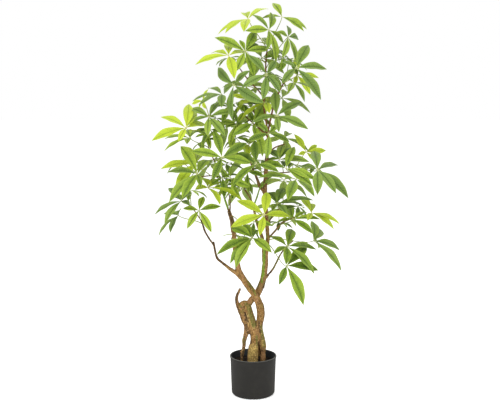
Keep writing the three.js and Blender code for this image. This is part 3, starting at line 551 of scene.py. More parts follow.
def addInnerLeaves(tree, leaflet, material):
    chance = random.Random(innerLeaves["seed"])
    others = skinOf(*(node.data for name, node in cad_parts.items() if "leaf" in name))
    taken, leaves = [], []

    def room(leaf):  # how much room a leaf has, less for a long stalk, and the spots that it takes
        spots = [leaf["hub"] + part["along"] * part["length"] * share
                 for part in leaf["leaflets"] for share in innerLeaves["samples"]]
        if any(at < low or at > high for spot in spots for at, low, high in zip(spot, *cadCorners)):
            return -1, spots
        gaps = [others.find_nearest(spot)[3] for spot in spots]
        gaps += [(spot - other).length for spot in spots for other in taken]
        return min(gaps) - (leaf["hub"] - leaf["seat"]).length * innerLeaves["stalkCost"], spots

    for u, v in innerLeaves["hubs"]:
        turn = chance.uniform(0, math.tau)
        bends = [chance.uniform(*innerLeaves["droop"]) for _ in range(innerLeaves["count"])]
        lengths = [chance.uniform(*innerLeaves["length"]) for _ in bends]
        options = [innerLeaf(u, v, depth, turn, bends, lengths) for depth in innerLeaves["depths"]]
        rooms = [room(leaf) for leaf in options]
        best = max(range(len(options)), key=lambda i: rooms[i][0])
        leaves.append(options[best])
        taken += rooms[best][1]
    source = leafPoints("inner_leaves", leaves, chance, innerLeaves["tones"])
    piece = growLeaves(source, tree, leaflet, material)
    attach(piece, body)


# Whether a leaf is cool tells whether its leaflets carry the painted sheen.
def leafLook(kind, number):  # the range of a leaf's tones, and whether it is cool
    if kind == "young":
        return leafTones["young"], False
    own = [tone for tone in ("light", "dark") if number in leafTones[tone + "Ones"]]
    return leafTones[own[0] if own else "plain"], number in leafTones["paintedSheenOnes"]


def addLeaves():
    chance = random.Random(leafForm["seed"])
    tree = palmateTree()
    leaflet = newObject("leaflet", leafletMesh())
    for kind, start in (("young", "young_leaf_"), ("grown", "leaf_")):
        material = leafMaterial(kind)
        for node in sorted(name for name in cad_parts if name.startswith(start)):
            tones, hasPaintedSheen = leafLook(kind, int(node[-2:]))
            source = leafPoints(f"fine_{node}", [readLeaf(node)], chance, tones, hasPaintedSheen, kind)
            handIn(growLeaves(source, tree, leaflet, material), node)
    addInnerLeaves(tree, leaflet, material)
    bpy.data.objects.remove(leaflet)


addLeaves()
print("leaves grown")


# Wood. Each limb is a line of (pixel u, pixel v, depth in mm, radius in mm), from its foot to its tip.
stemLines = [
    # Front stem, from its lobe in the soil to the flat knob in the middle
    [(253, 378, -4, 13), (252.8, 361, -8, 16.8), (253.2, 350, -7, 16.4), (253.9, 344.5, -6, 14),
     (254.3, 340, -4, 12.5), (254, 333, -2, 13), (252, 322, 2, 13), (249, 312, 5, 12),
     (247.4, 305.5, 6, 11.6), (246.9, 303, 7, 9.4)],
    # From the knob through the crossing, up the right limb to its fork
    [(247.5, 307, 7, 8), (251.2, 300.3, 9, 10), (255, 297, 9, 10.8), (258.5, 291.3, 8, 11.2),
     (263, 280, 6, 10), (265.1, 265, 3, 9.2), (265.1, 254, 2, 9.6), (267.6, 240, 2, 6.4), (267.2, 228, 3, 6),
     (265.7, 205, 4, 6.4), (265, 190, 4, 6.5), (265.7, 176, 4, 6.4), (266.5, 163, 5, 6.4),
     (267.2, 152, 5, 5.2), (268, 140, 5, 4.6), (267.8, 128, 5, 4)],
    # Right stem, in front at the crossing, up the left limb to its blunt end
    [(262.8, 378, 4, 8.6), (262.8, 358, 3, 8.6), (263, 351.5, 3, 8), (262.9, 348.6, -1, 10),
     (262.6, 344, -2, 11), (260.3, 333, -2, 10.5), (259.4, 325, -3, 10.6), (260.8, 315, -2, 12.2),
     (260.1, 307, -4, 12.2), (257.8, 300.5, -7, 11.4), (254.5, 294.5, -8, 10.5), (249, 287, -8, 10.5),
     (243.5, 279, -6, 10), (239, 271, -4, 9), (237, 262, -2, 8), (235.2, 250, 0, 7.4), (234.2, 238, 0, 6.8),
     (233.3, 228, 0, 6.3), (232.2, 221, 0, 6.3), (230.2, 215, 0, 6.3), (228.9, 210.8, 0, 5.2)],
    # Left stem, from its thin root to its horn beside the crossing
    [(241, 378, -5, 3.8), (241.8, 359.5, -4, 3.8), (242.4, 353.5, -3, 5), (243.8, 347, -2, 5.4),
     (244.4, 340, -1, 6.6), (246.2, 333, 0, 8), (246.8, 326, 1, 9.4), (243.9, 318, 3, 10.4),
     (241, 311, 4, 9.5), (238.3, 306, 3, 7), (236.6, 300, 2, 5.4), (237.3, 295, 1, 4.8),
     (239, 291.5, 0, 4.2), (239.8, 289.3, -1, 3.8), (240.1, 288.2, -1, 2.4)],
    # Saddle between the horn and the knob, and the wood behind the cleft of the two roots
    [(239.5, 307.5, 4, 6), (241.5, 305.4, 5, 8), (243.2, 303.6, 5, 9.6), (246.8, 303.6, 6, 9.4),
     (249.6, 302.6, 7, 8)],
    [(246.4, 315, 4, 3), (247.4, 319.5, 2, 7.6), (248.6, 325, 0, 9), (249, 330.5, 0, 7.4),
     (249.2, 334, 2, 3.4)],
    [(241.5, 306, 5, 7), (243.3, 308.5, 5, 8), (244.5, 312, 4, 8)],
    [(259.3, 356, 8, 5), (259.6, 347, 8, 6), (259.2, 339, 6, 7)],
    [(257, 323.4, -2, 3.6), (257.3, 327, -5, 6), (257.6, 331, -7, 7), (257.7, 338, -7, 6),
     (257.8, 344, -5, 3.4)],
    # Left fork of the right limb
    [(264.2, 254, 0, 7), (263.2, 242, -3, 5.8), (260, 231, -6, 4.8), (257, 223, -6, 4.3),
     (254.5, 212, -4, 4), (253, 205, -4, 3.8)],
    # Left branch with its stub
    [(241, 278, -4, 7), (237.6, 274, -4, 6.8), (233.6, 271.2, -5, 6.2), (229.6, 268.6, -6, 5.3),
     (226.5, 266, -6, 4.6), (222, 262.5, -6, 3.9), (217.8, 258.9, -6, 4.2), (216.1, 255.4, -6, 3.5),
     (214.9, 250, -5, 3.4), (214, 245, -4, 3.6), (213.3, 241.6, -4, 3.4)],
    # Side shoot high on the right limb
    [(264.8, 194, 4, 4.5), (262.5, 190, 2, 4.6), (259.8, 186.5, 0, 4.8), (257.5, 180, 0, 4.6)],
    # Knots
    [(262, 288.5, 4, 4), (264, 286.5, 0, 3.6)],
    [(243.6, 349, -3, 3.4), (240.6, 352.5, -5, 3.2)],
]
twigLines = [
    # Dark twig and green shoot on the left fork
    [(253, 207, -4, 3.2), (252, 202, -4, 2.6), (249, 196, -2, 2.5), (245, 190, 0, 2.4), (240.5, 183, 4, 2.2),
     (233, 178, 8, 2)],
    [(253.3, 208, -4, 3.2), (254.5, 204, -4, 2.6), (257, 197, -6, 2.4), (260, 188, -8, 2.2),
     (263, 185, -10, 2), (267, 181.5, -12, 1.8)],
    # The twig that goes on from the left branch
    [(214.3, 247, -4, 2.8), (212.6, 243.4, -4, 2.8), (209, 238.4, -6, 2.9), (205.8, 233, -8, 2.8),
     (204.3, 229.4, -8, 3.3), (203.2, 226, -8, 2.7), (201.3, 221, -6, 2.3), (196, 213, 0, 1.8),
     (191, 206, 6, 1.5)],
    # Thin shoot from the left limb's blunt end, up behind the leaves
    [(229.4, 213, 0, 4), (228.5, 210, 0, 3.4), (226.4, 204, 2, 3.1), (224.4, 198, 2, 3),
     (222.7, 191, 4, 2.9), (221, 184, 6, 2.7), (219.5, 177, 8, 2.4), (215, 163, 16, 2.1),
     (209, 148, 20, 1.8), (206, 132, 20, 1.7), (209, 117, 16, 1.6), (216, 104, 12, 1.5)],
    [(219.8, 179, 8, 2), (214, 176, 10, 1.8), (207, 176, 8, 1.7), (200, 177, 4, 1.6)],
    # Side shoots high on the right limb
    [(257.5, 180, 0, 4.6), (255, 174, 2, 3), (252.5, 168.5, 4, 2.3), (250, 160, 8, 2), (247, 148, 14, 1.8)],
    [(266.5, 160, 5, 3.4), (270, 152, 12, 2.6), (276, 147, 22, 2.2), (285, 144, 34, 1.8)],
    [(265.6, 178, 4, 3.6), (270, 174, 8, 2.6), (279, 173, 12, 2.2), (290, 172, 12, 2), (300, 170, 8, 1.8)],
    # Twigs low on the right
    [(267.4, 240, 2, 3.6), (271, 235.5, -2, 3), (275, 231, -6, 3), (279, 226, -8, 3),
     (282.5, 222.5, -8, 2.8), (290, 219, -6, 2.2), (298, 216, 0, 1.8)],
    [(264, 280, 4, 4.5), (267, 276.4, 2, 3.7), (269.2, 273.6, 0, 3.1), (271.5, 271, 0, 3.3),
     (273.4, 268.2, -1, 3), (276, 263.3, -3, 2.9), (278.6, 258, -5, 2.8), (281.4, 253, -6, 2.4),
     (286, 247, -2, 2), (293, 241, 6, 1.7)],
    # Shoots that carry the far side of the crown
    [(265.3, 186, 5, 4), (266, 180, 24, 2.6), (267, 172, 52, 2.2), (269, 163, 84, 1.8)],
    [(232.3, 232, 2, 4.4), (231, 224, 22, 2.8), (230, 213, 48, 2.4), (230, 200, 76, 2), (227, 185, 96, 1.7)],
    [(266.8, 228, 5, 3.8), (270, 220, 26, 2.6), (276, 212, 54, 2.2), (283, 205, 82, 1.8)],
]
redLines = [
    # Two reddish stems at the top, and the shoots on them
    [(267.8, 131, 5, 3.6), (267, 127, 5, 3), (265.5, 117, 4, 3), (264, 108, 2, 2.8), (264, 95, 2, 2.7),
     (265.5, 75, 4, 2.5), (266, 60, 4, 2.3), (268, 42, 4, 2)],
    [(268, 131, 5, 3.6), (268.7, 128, 6, 3), (271, 117, 8, 2.9), (274, 105, 10, 2.7), (279, 92, 10, 2.5),
     (287, 77, 8, 2)],
    [(264.2, 98, 2, 2.6), (258, 90, 8, 2.2), (250, 82, 12, 2), (243, 73, 12, 1.8), (238, 66, 8, 1.6)],
    [(267.5, 136, 5, 3.4), (261, 130, 14, 2.4), (254, 124, 24, 2), (246, 117, 34, 1.8)],
    [(267.6, 134, 6, 3.2), (263, 126, 28, 2.3), (257, 118, 54, 2), (252, 108, 78, 1.7)],
]
# Pixels on the face of the wood where it is dented and painted dark, dark scars with painted shade in the
# dents, with the reach and the depth in mm
woodScars = [(245.3, 320, 3.5, 2.5), (244.3, 316, 2.5, 1.2), (244.6, 313, 2, 0.8), (263.2, 287, 2.5, 0.6),
             (253.8, 291, 2, 0.5), (247.5, 333, 2.5, 0.5), (241.8, 355.5, 3, 0.6)]
# Stains, painted highlights and painted shade on the face of the wood: each is its reach in mm, and the
# pixels of a line
woodStains = {
    "moss": [(8, (249, 306), (250, 312), (252, 318), (254, 325)), (7.5, (261.6, 327), (263, 335), (264, 346)),
             (3.4, (242, 270), (252.6, 289), (255.6, 294.5)), (4.5, (257, 286), (260.5, 280)),
             (5, (246, 304), (249, 307)), (4, (256.5, 336), (257, 350)), (3, (243.8, 337), (243.6, 343)),
             (3, (239.5, 304.5), (242, 307)), (4, (250.5, 352), (250, 360)),
             (6, (273.5, 268), (281.4, 253), (288, 245))],
    "green": [(2.6, (261.8, 282), (262.4, 276)), (6, (262.6, 276), (263.4, 265), (264.1, 255)),
              (5, (264.1, 255), (264.8, 246), (264.8, 236)), (1.3, (254.6, 292), (255.6, 294.5)),
              (6, (227.5, 207), (224.4, 198), (221, 184), (215, 163)),
              (6, (254.5, 204), (260, 188), (267, 181))],
    # Pink is pinkish bark, and on the knob and beside it a painted highlight.
    "pink": [(4.5, (249, 302), (251.5, 298.5)), (3, (247.6, 331.5)), (3.5, (243, 306), (241, 309)),
             (8, (262.6, 353), (262.6, 358)), (3.5, (240.8, 352.5)),
             (3.6, (266.6, 250), (266.4, 262), (266, 272)), (2.6, (239.2, 292), (238, 296), (237.8, 303)),
             (4, (257, 294), (257.5, 301)), (4, (237.5, 266), (244, 278))],
    # Pale: painted highlights.
    "pale": [(4, (252, 326.5), (254, 328)), (5, (247.5, 314), (249.5, 324)),
             (2.6, (256.5, 296.5), (257, 300)), (10, (252.5, 347), (253, 361))],
    "lobe": [(12, (250.5, 350), (250.5, 362)), (12, (253.5, 349), (253.5, 362)), (9, (256, 349), (256, 362)),
             (3.5, (262.5, 341), (262.5, 346))],
    # Dusk is dark bark, with painted shade along the edges of the stems and between them.
    "dusk": [(2.4, (245, 334), (244.2, 341), (243.4, 350)), (5, (235.6, 305), (235.6, 298), (237, 293.5)),
             (3, (240.3, 288.6)), (3.5, (237, 306), (239.6, 313), (242.6, 322), (244.6, 329)),
             (4, (243, 352), (241.6, 359)), (4, (265.5, 282), (263, 288), (262, 292)),
             (2.5, (263.6, 304), (264.6, 314), (262, 326)),
             (5, (224, 264), (217, 258), (214.5, 247), (213, 242)), (5, (212, 242.5), (205, 231), (201, 221)),
             (4, (267.5, 276), (271, 271.5)), (5, (228.5, 212), (232.5, 222), (233.5, 232)),
             (3, (250.5, 333), (251, 343)), (5, (246, 325), (247.5, 332)), (4, (245, 315), (247.4, 322)),
             (3.5, (259, 322), (260, 332)), (3, (260.4, 349.5), (263, 351), (265.6, 350))],
}
# Form of the wood, in metres but for the full girth in mm and the step along a stain in pixels
woodForm = {"voxel": 0.00125, "melt": 4, "meltPull": 0.5, "stemSides": 24, "stemSteps": 8, "twigSides": 10,
            "twigSteps": 5, "grainStretch": 0.3, "fullGirth": 9, "stainStep": 1.5,
            "creviceRounds": 30, "creviceDepth": 0.0015, "fineHollowRounds": 3, "fineHollowDepth": 0.00025}
# Relief of the bark: its height and the size of its patches in metres, the noise's detail, and whether the
# patches run with the grain
barkRelief = {"ridge": (0.0024, 0.005, 2.0, True), "lump": (0.0036, 0.013, 1.0, False),
              "fine": (0.0008, 0.0016, 1.0, True)}

# Colours of the wood: the shades below, then the layers over them, each with its strength and edges
woodShades = {"stops": (0.38, 0.5, 0.64), "codes": ("563c1e", "886435", "b48d4e")}
woodLayers = {
    "mossPatch": ("686c30", 0.45, 0.52, 0.68), "pinkPatch": ("a87a56", 0.45, 0.52, 0.66),
    # The pale layer is a painted highlight.
    "high": ("7a5434", 0.55, 0.5, 0.75), "thin": ("6b5a3a", 0.7), "pale": ("cbb06c", 0.7),
    "pink": ("a87a56", 0.65), "moss": ("686c30", 0.9), "green": ("77a02a", 0.85), "red": ("7d4e33", 0.75),
    # The dusk layer is dark bark and painted shade.
    "lobe": ("d6b668", 0.75), "dusk": ("35261a", 0.75), "ridge": ("cbb06c", 0.3, 0, 1),
    # Ridge and groove follow the bark's relief: a painted highlight on its ridges and painted shade in its
    # grooves.
    "grooveShade": ("30241a", 0.5, 0, 1), "crack": ("30241a", 0.55, 0.6, 0.7), "squiggle": ("453015", 0.65),
    # The crevice layer is painted shade where the stems meet.
    "dot": ("cfa377", 0.5, 0.6, 0.68), "crevice": ("2a1e14", 0.85, 0.1, 1), "scar": ("2a1e14", 0.8, 0.3, 1.1)}
# The wood's patterns, how they are mixed, the edges of its masks, and its shine
# The dot pattern lays small painted highlights on the bark.
woodFinish = {"broad": (0.018, 3, 0.6), "streak": (0.0042, 4, 0.65, 0.5), "speck": (0.0022,),
              "dot": (0.0032, 1), "vein": (0.008, 1, 0.5, 1.2), "patch": (0.022,),
              "shadeMix": (0.5, 0.3, 0.2), "frayMix": (0.6, 0.4), "fray": 1.2, "stainEdges": (0.2, 0.7),
              "veinEdges": (0.04, 0.13), "offLobe": 0.15, "paintedHighlightEdges": (0.42, 0.56), "mossMix": (0.5, 0.5),
              "mossEdges": (0.36, 0.52), "roughness": 0.74, "speckRoughness": 0.2, "gloss": 0.22,
              "reliefMix": (0.6, 0.3, -0.5), "relief": 0.0011, "reliefStrength": 0.9}


def limbTree():
    sheet = GrowTree("limbTubes", {"sides": "Int", "steps": "Int"})
    line = sheet.node("GeometryNodeMeshToCurve", {0: sheet.given("Geometry")})
    line = sheet.node("GeometryNodeCurveSplineType", {0: line}, spline_type="CATMULL_ROM")
    line = sheet.node("GeometryNodeSetSplineResolution", {0: line, "Resolution": sheet.given("steps")})
    return sheet.close(sheet.smooth(sheet.tube(line, sheet.given("sides"))))


# Ridges that run with the grain, lumps and fine roughness, less on thin wood
def barkTree():
    inputs = {name + part: "Float" for name in barkRelief for part in ("Height", "Size")}
    sheet = GrowTree("barkRelief", {"stretch": "Vector", **inputs})
    here = sheet.node("GeometryNodeInputPosition")
    along = here * sheet.given("stretch")
    height = 0
    for name, (_, _, detail, withGrain) in barkRelief.items():
        patch = sheet.noise(along if withGrain else here, sheet.given(name + "Size"), detail)
        height = height + (patch - 0.5) * sheet.given(name + "Height")
    height = height * sheet.carried("girth") - sheet.carried("dent")
    push = sheet.node("GeometryNodeInputNormal") * height
    shaped = sheet.node("GeometryNodeSetPosition", {0: sheet.given("Geometry"), "Offset": push})
    return sheet.close(sheet.smooth(shaped))


def barkMaterial():
    finish, sheet = woodFinish, materialSheet("twistedBark")
    place, along = sheet.place(), sheet.place(1, 1, woodForm["grainStretch"])
    girth, red, scar, crevice, grain = sheet.marks("girth", "red", "scar", "crevice", "grain")
    rise = sheet.node("ShaderNodeSeparateXYZ", {0: place}, output="Z")
    broad = sheet.noise(along, *finish["broad"])
    streak = sheet.noise(along, *finish["streak"])
    speck = sheet.noise(place, *finish["speck"])
    fray = (weighed((streak, speck), finish["frayMix"]) - 0.5) * finish["fray"]
    stains = {name: sheet.ease(sheet.marks(name)[0] + fray, *finish["stainEdges"]) for name in woodStains}
    vein = sheet.work("ABSOLUTE", sheet.noise(place, *finish["vein"]) - 0.5)
    onLobe = finish["offLobe"] + stains["lobe"] * (1 - finish["offLobe"])
    squiggle = (1 - sheet.ease(vein, *finish["veinEdges"])) * onLobe
    shade = weighed((streak, broad, speck), finish["shadeMix"])
    base = sheet.ramp(shade, woodShades["stops"], woodShades["codes"])
    mossy = sheet.ease(weighed((speck, streak), finish["mossMix"]), *finish["mossEdges"])
    base = sheet.cover(base, woodLayers, {
        **stains, "squiggle": squiggle, "red": red, "thin": 1 - girth, "high": rise, "crevice": crevice,
        "mossPatch": sheet.noise(place, *finish["patch"]), "pinkPatch": broad, "crack": 1 - streak,
        # The pale stains lay a painted highlight, broken up by the streaks.
        "pale": stains["pale"] * sheet.ease(streak, *finish["paintedHighlightEdges"]),
        "moss": stains["moss"] * mossy,
        "ridge": grain * -1, "grooveShade": grain, "dot": sheet.noise(place, *finish["dot"]), "scar": scar + fray})
    height = weighed((streak, speck, squiggle), finish["reliefMix"])
    return sheet.surface(Base_Color=base, Roughness=finish["roughness"] + speck * finish["speckRoughness"],
                         Specular_IOR_Level=finish["gloss"],
                         Normal=sheet.bump(height, finish["relief"], finish["reliefStrength"]))


def limbsFrom(kind, lines, tubes, material):
    points, edges, radii = [], [], []
    for line in lines:
        start = len(points)
        points += [placeOf(u, v, depth) for u, v, depth, _ in line]
        radii += [radius / 1000 for _, _, _, radius in line]
        edges += [(i, i + 1) for i in range(start, len(points) - 1)]
    return tubes.grow(newObject(kind, meshFrom(kind, points, edges, radius=radii)), material, {
        "sides": woodForm[kind + "Sides"], "steps": woodForm[kind + "Steps"]})


def joined(name, pieces):
    whole = bmesh.new()
    for piece in pieces:
        whole.from_mesh(piece.data)
        bpy.data.objects.remove(piece)
    mesh = bpy.data.meshes.new(name)
    whole.to_mesh(mesh)
    whole.free()
    return newObject(name, mesh)


# How near each point of the wood is to places on its face, from 0 to 1. A place is a pixel and a reach in mm.
def nearness(points, skin, spots):
    eye = Vector(view["place"])
    values = np.zeros(len(points))
    for u, v, reach in spots:
        place = placeOf(u, v, 0)
        spot = skin.ray_cast(eye, (place - eye).normalized())[0] or skin.find_nearest(place)[0]
        gap = np.linalg.norm(points - np.array(spot), axis=1) / (reach / 1000)
        values = np.maximum(values, np.exp(-gap ** 2))
    return values


def stainSpots(lines):  # pixels along each line of a stain, a step apart
    spots = []
    for reach, *line in lines:
        spots.append((*line[0], reach))
        for (u, v), (nextU, nextV) in zip(line, line[1:]):
            count = math.ceil(math.hypot(nextU - u, nextV - v) / woodForm["stainStep"])
            spots += [(u + (nextU - u) * i / count, v + (nextV - v) * i / count, reach)
                      for i in range(1, count + 1)]
    return spots


# How deep each point lies in a hollow, or below 0 how far it stands on a ridge, in metres
def hollowDepth(mesh, rounds):
    count = len(mesh.vertices)
    points = np.array([vertex.co for vertex in mesh.vertices])
    normals = np.array([vertex.normal for vertex in mesh.vertices])
    a, b = np.array([tuple(edge.vertices) for edge in mesh.edges]).T
    links = np.bincount(a, minlength=count) + np.bincount(b, minlength=count)
    melted = points
    for _ in range(rounds):
        melted = np.column_stack([
            np.bincount(a, melted[b, axis], count) + np.bincount(b, melted[a, axis], count)
            for axis in range(3)]) / links[:, None]
    return ((melted - points) * normals).sum(axis=1)


# How thick the limb at each point is, from 0 to 1, and whether it is one of the reddish ones
def girthAndRed(points):
    rows = [(row, 0) for line in stemLines + twigLines for row in line]
    rows += [(row, 1) for line in redLines for row in line]
    tree = KDTree(len(rows))
    for i, ((u, v, depth, _), _) in enumerate(rows):
        tree.insert(placeOf(u, v, depth), i)
    tree.balance()
    nearest = [rows[tree.find(point)[1]] for point in points]
    return [min(1, row[3] / woodForm["fullGirth"]) for row, _ in nearest], [red for _, red in nearest]


def meltedStems(tubes, material):  # the stems as one skin, grown together where they meet
    stems = limbsFrom("stem", stemLines, tubes, material)
    remesh = stems.modifiers.new("remesh", "REMESH")
    remesh.mode = "VOXEL"
    remesh.voxel_size = woodForm["voxel"]
    melt = stems.modifiers.new("melt", "SMOOTH")
    melt.factor = woodForm["meltPull"]
    melt.iterations = woodForm["melt"]
    return applied(stems)


def addTrunk():
    tubes, material = limbTree(), barkMaterial()
    stems = meltedStems(tubes, material)
    stemCount = len(stems.data.vertices)
    wood = joined("twisted_trunk", [stems, limbsFrom("twig", twigLines + redLines, tubes, material)])
    mesh = wood.data
    onStem = np.arange(len(mesh.vertices)) < stemCount
    points = np.array([vertex.co for vertex in mesh.vertices])
    girth, red = girthAndRed(points)
    skin = skinOf(mesh)
    scar, dent = np.zeros(len(points)), np.zeros(len(points))
    # Each scar dents the wood and paints it dark, painted shade in the dent.
    for u, v, reach, depth in woodScars:
        near = nearness(points, skin, [(u, v, reach)])
        scar, dent = np.maximum(scar, near), np.maximum(dent, near * depth / 1000)
    # Broad hollows, where the stems meet, are painted dark: painted shade in the crevices.
    crevice = hollowDepth(mesh, woodForm["creviceRounds"]) / woodForm["creviceDepth"]
    setMarks(mesh, girth=girth, red=red, scar=scar, dent=dent, crevice=np.clip(crevice, 0, 1) * onStem,
             **{name: nearness(points, skin, stainSpots(lines)) for name, lines in woodStains.items()})
    # The fine hollows and ridges of the bark's relief become the grain mark, which paints shade into the
    # grooves and a highlight onto the ridges.
    plain = hollowDepth(mesh, woodForm["fineHollowRounds"])
    wood = barkTree().grow(wood, material, {
        "stretch": (1, 1, woodForm["grainStretch"]),
        **{name + part: value for name, row in barkRelief.items()
           for part, value in zip(("Height", "Size"), row)}})
    grain = (hollowDepth(wood.data, woodForm["fineHollowRounds"]) - plain) / woodForm["fineHollowDepth"]
    setMarks(wood.data, grain=np.clip(grain, -1, 1) * onStem)
    handIn(wood, "trunk")


addTrunk()
print("trunk grown")


# Pot
potForm = {"lipHeight": 0.0045, "lipStep": 0.0015, "lipStart": 0.0006, "lipFlare": 0.0004, "lipRound": 0.0009,
           "edge": 0.00072, "taper": 0.0038, "corner": 0.009, "wall": 0.0022, "floor": 0.003,
           "segments": 144, "arcSteps": 6, "sharp": 50}
potWall = "2b2a28"
# The edge colour is a painted highlight along the top rounding of the rim.
potLayers = {"worn": ("393734", 0.35, 0.42, 0.72), "edge": ("7d7c78", 0.6), "inside": ("3b3e41", 0.9)}
potFinish = {"cloud": (0.03, 4, 0.6), "dust": (0.006, 5, 0.7), "dustStretch": 2.5, "grain": (0.0007, 1),
             "wornMix": (0.6, 0.4), "ringStep": 0.0021, "roughness": 0.55, "dustRoughness": 0.22,
             "gloss": 0.09, "reliefMix": (0.12, 0.5, 0.3), "relief": 0.0002, "reliefStrength": 0.6}


def arc(middle, radius, start, end, steps):  # points of a round corner, its angles in degrees
    turns = [math.radians(start + (end - start) * i / steps) for i in range(steps + 1)]
    return [(middle[0] + radius * math.cos(turn), middle[1] + radius * math.sin(turn)) for turn in turns]


def lathe(name, profile, segments):  # a closed turned form, from one point on the axis to another
    points, faces, rings = [], [], []
    for radius, height in profile:
        if radius == 0:
            rings.append([len(points)] * segments)
            points.append((0, 0, height))
            continue
        rings.append(list(range(len(points), len(points) + segments)))
        turns = [math.tau * i / segments for i in range(segments)]
        points += [(radius * math.cos(turn), radius * math.sin(turn), height) for turn in turns]
    for low, high in zip(rings, rings[1:]):
        for i in range(segments):
            j = (i + 1) % segments
            faces.append(tuple(dict.fromkeys((low[i], low[j], high[j], high[i]))))
    return meshFrom(name, points, faces=faces)


def potMaterial():
    finish, sheet = potFinish, materialSheet("mattBlackPlastic")
    place = sheet.place()
    height = sheet.node("ShaderNodeSeparateXYZ", {0: place}, output="Z")
    cloud = sheet.noise(place, *finish["cloud"])
    dust = sheet.noise(sheet.place(1, 1, finish["dustStretch"]), *finish["dust"])
    grain = sheet.noise(place, *finish["grain"])
    edge, inside = sheet.marks("edge", "inside")
    # The inner face is painted lighter and bluer than the wall, light painted into the shaded inside of the
    # pot.
    base = sheet.cover(tint(potWall), potLayers, {
        "worn": weighed((cloud, dust), finish["wornMix"]), "edge": edge, "inside": inside})
    rings = sheet.work("SINE", height * (math.tau / finish["ringStep"]))
    relief = weighed((rings, grain, dust), finish["reliefMix"])
    return sheet.surface(Base_Color=base, Roughness=finish["roughness"] + dust * finish["dustRoughness"],
                         Specular_IOR_Level=finish["gloss"],
                         Normal=sheet.bump(relief, finish["relief"], finish["reliefStrength"]))


def addPot():
    low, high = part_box("pot")
    form, rim, top = potForm, high.x, high.z
    corner, bend, steps = form["corner"], form["lipRound"], form["arcSteps"]
    lipLow = top - form["lipHeight"]
    outer = rim - form["lipStep"]
    foot = outer - form["taper"]
    inner, innerFoot, innerCorner = outer - form["wall"], foot - form["wall"], corner - form["wall"]
    profile = [(0, low.z)]
    profile += arc((foot - corner, corner), corner, -90, 0, steps)
    profile += [(outer, lipLow - form["lipStart"]), (outer + form["lipFlare"], lipLow)]
    profile += arc((rim - bend, lipLow + bend), bend, -90, 0, steps)
    profile += arc((rim - bend, top - bend), bend, 0, 90, steps)
    profile += arc((inner + bend, top - bend), bend, 90, 180, steps)
    outside = len(profile) - 2  # the last two points of the lip belong to the inner face
    profile += [(innerFoot, corner)]
    profile += arc((innerFoot - innerCorner, corner), innerCorner, 0, -90, steps)
    profile += [(0, form["floor"])]
    mesh = lathe("round_pot", profile, form["segments"])
    # The edge mark is the top rounding of the rim, where the painted highlight goes.
    setMarks(mesh, edge=[vertex.co.z > top - form["edge"] for vertex in mesh.vertices],
             inside=[i > (outside - 1) * form["segments"] for i in range(len(mesh.vertices))])
    mesh.shade_smooth()
    mesh.materials.append(potMaterial())
    piece = newObject("round_pot", mesh)
    piece.modifiers.new("edges", "EDGE_SPLIT").split_angle = math.radians(form["sharp"])
    handIn(applied(piece), "pot")


addPot()
print("pot turned")


# Soil
soilForm = {"rings": 26, "segments": 72, "bumps": 0.0022, "bumpSize": 0.011, "bumpDrop": 0.6, "clear": 0.0006,
            "mound": 0.0025, "corner": 0.008, "lean": 0.002, "brink": 0.004, "seed": 5}
crumbForm = {"count": 1500, "size": 0.0016, "least": 0.45, "most": 1.5, "turn": (6.28, 6.28, 6.28),
             "jag": (0.7, 1.15), "flatness": 0.75}
soilFinish = {"stops": (0.3, 0.55, 0.8), "codes": ("15110d", "2a2018", "4a3a2a"),
              "clod": (0.004, 4, 0.7), "grit": (0.0009,), "shadeMix": (0.7, 0.3), "roughness": 0.95,
              "gloss": 0.2, "reliefMix": (1, 0.5), "relief": 0.001}


def soilMaterial():
    finish, sheet = soilFinish, materialSheet("pottingSoil")
    clod = sheet.noise(sheet.place(), *finish["clod"])
    grit = sheet.noise(sheet.place(), *finish["grit"])
    base = sheet.ramp(weighed((clod, grit), finish["shadeMix"]), finish["stops"], finish["codes"])
    return sheet.surface(Base_Color=base, Roughness=finish["roughness"], Specular_IOR_Level=finish["gloss"],
                         Normal=sheet.bump(weighed((clod, grit), finish["reliefMix"]), finish["relief"]))


def crumbTree():
    sheet = GrowTree("soilCrumbs", {"crumb": "Object", "density": "Float", "seed": "Int", "size": "Float",
                                    "least": "Float", "most": "Float", "turn": "Vector"})
    given = sheet.given
    spots = sheet.node("GeometryNodeDistributePointsOnFaces", {
        0: given("Geometry"), "Selection": sheet.carried("top"), "Density": given("density"),
        "Seed": given("seed")})
    turn = sheet.node("FunctionNodeRandomValue", {0: (0, 0, 0), 1: given("turn"), "Seed": 1},
                      data_type="FLOAT_VECTOR")
    size = sheet.node("FunctionNodeRandomValue", {2: given("least"), 3: given("most"), "Seed": 2}, output=1,
                      data_type="FLOAT")
    crumbs = sheet.node("GeometryNodeInstanceOnPoints", {
        0: spots, "Instance": sheet.shapeOf("crumb"), "Rotation": turn, "Scale": size * given("size")})
    return sheet.close(sheet.join(given("Geometry"), crumbs))


def crumbMesh(chance):
    shape = bmesh.new()
    bmesh.ops.create_icosphere(shape, subdivisions=1, radius=1)
    for vert in shape.verts:
        vert.co *= chance.uniform(*crumbForm["jag"])
        vert.co.z *= crumbForm["flatness"]
    mesh = bpy.data.meshes.new("crumb")
    shape.to_mesh(mesh)
    shape.free()
    return mesh


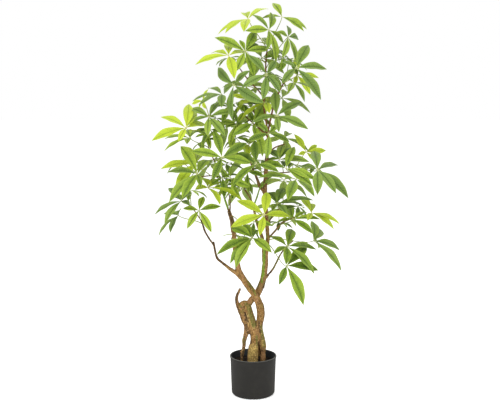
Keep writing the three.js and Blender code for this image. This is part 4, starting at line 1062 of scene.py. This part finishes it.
def addSoil():
    low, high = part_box("soil")
    form, steps = soilForm, soilForm["rings"]
    reach, base, crest = high.x - form["clear"], low.z, high.z
    profile = [(0, base), (reach - form["corner"], base), (reach - form["lean"], base + form["corner"]),
               (reach, crest - form["brink"])]
    side = len(profile) - 1
    profile += [(reach * (1 - i / steps), crest - form["mound"] * (1 - i / steps) ** 2) for i in range(steps)]
    mesh = lathe("soil_bed", profile + [(0, crest)], form["segments"])
    onTop = [i > side * form["segments"] for i in range(len(mesh.vertices))]
    for vertex in mesh.vertices:
        if onTop[vertex.index]:
            vertex.co.z += (noise.noise(vertex.co / form["bumpSize"]) - form["bumpDrop"]) * form["bumps"]
    setMarks(mesh, top=onTop)
    mesh.shade_smooth()
    crumb = newObject("crumb", crumbMesh(random.Random(form["seed"])))
    piece = crumbTree().grow(newObject("soil_bed", mesh), soilMaterial(), {
        "crumb": crumb, "density": crumbForm["count"] / (math.pi * reach ** 2), "seed": form["seed"],
        **{name: crumbForm[name] for name in ("size", "least", "most", "turn")}})
    bpy.data.objects.remove(crumb)
    handIn(piece, "soil")


addSoil()
print("soil laid")


# Studio
studio = {"floorHalf": 30, "floorPaint": "f6f6f6", "floorRoughness": 0.9, "floorGlow": 0.5, "skyLight": 0.7,
          "skySeen": 1.0,
          "lamps": [  # place, power, size
              ((-1.5, -2.3, 2.9), 54, 1.4), ((2.2, -2.0, 1.6), 16, 2.0), ((0.4, 1.8, 2.8), 22, 1.6)]}


def addStudio():
    half = studio["floorHalf"]
    floor = newObject("floor", meshFrom("floor", [
        (-half, -half, 0), (half, -half, 0), (half, half, 0), (-half, half, 0)], faces=[(0, 1, 2, 3)]))
    floor.data.materials.append(materialSheet("studioFloor").surface(
        Base_Color=tint(studio["floorPaint"]), Roughness=studio["floorRoughness"], Specular_IOR_Level=0.0,
        Emission_Color=(1, 1, 1, 1), Emission_Strength=studio["floorGlow"]))
    middle = sum((Vector(corner) for corner in cadCorners), Vector()) / 2
    for place, power, size in studio["lamps"]:
        data = bpy.data.lights.new("softbox", "AREA")
        data.energy = power
        data.size = size
        lamp = newObject("softbox", data)
        lamp.location = place
        lamp.rotation_euler = (middle - Vector(place)).to_track_quat("-Z", "Y").to_euler()
    addSky()
    bpy.context.scene.view_settings.view_transform = "Standard"


# The sky is seen as plain white, and lights the plant a little less than it shows
def addSky():
    world = bpy.data.worlds.new("studioSky")
    sheet = sheetOf(world)
    seen = sheet.node("ShaderNodeLightPath", output="Is Camera Ray")
    light, white = (sheet.node("ShaderNodeBackground", {"Color": (1, 1, 1, 1), "Strength": studio[name]})
                    for name in ("skyLight", "skySeen"))
    sky = sheet.node("ShaderNodeMixShader", {0: seen, 1: light, 2: white})
    sheet.node("ShaderNodeOutputWorld", {"Surface": sky})
    bpy.context.scene.world = world


addStudio()
print("studio lit")
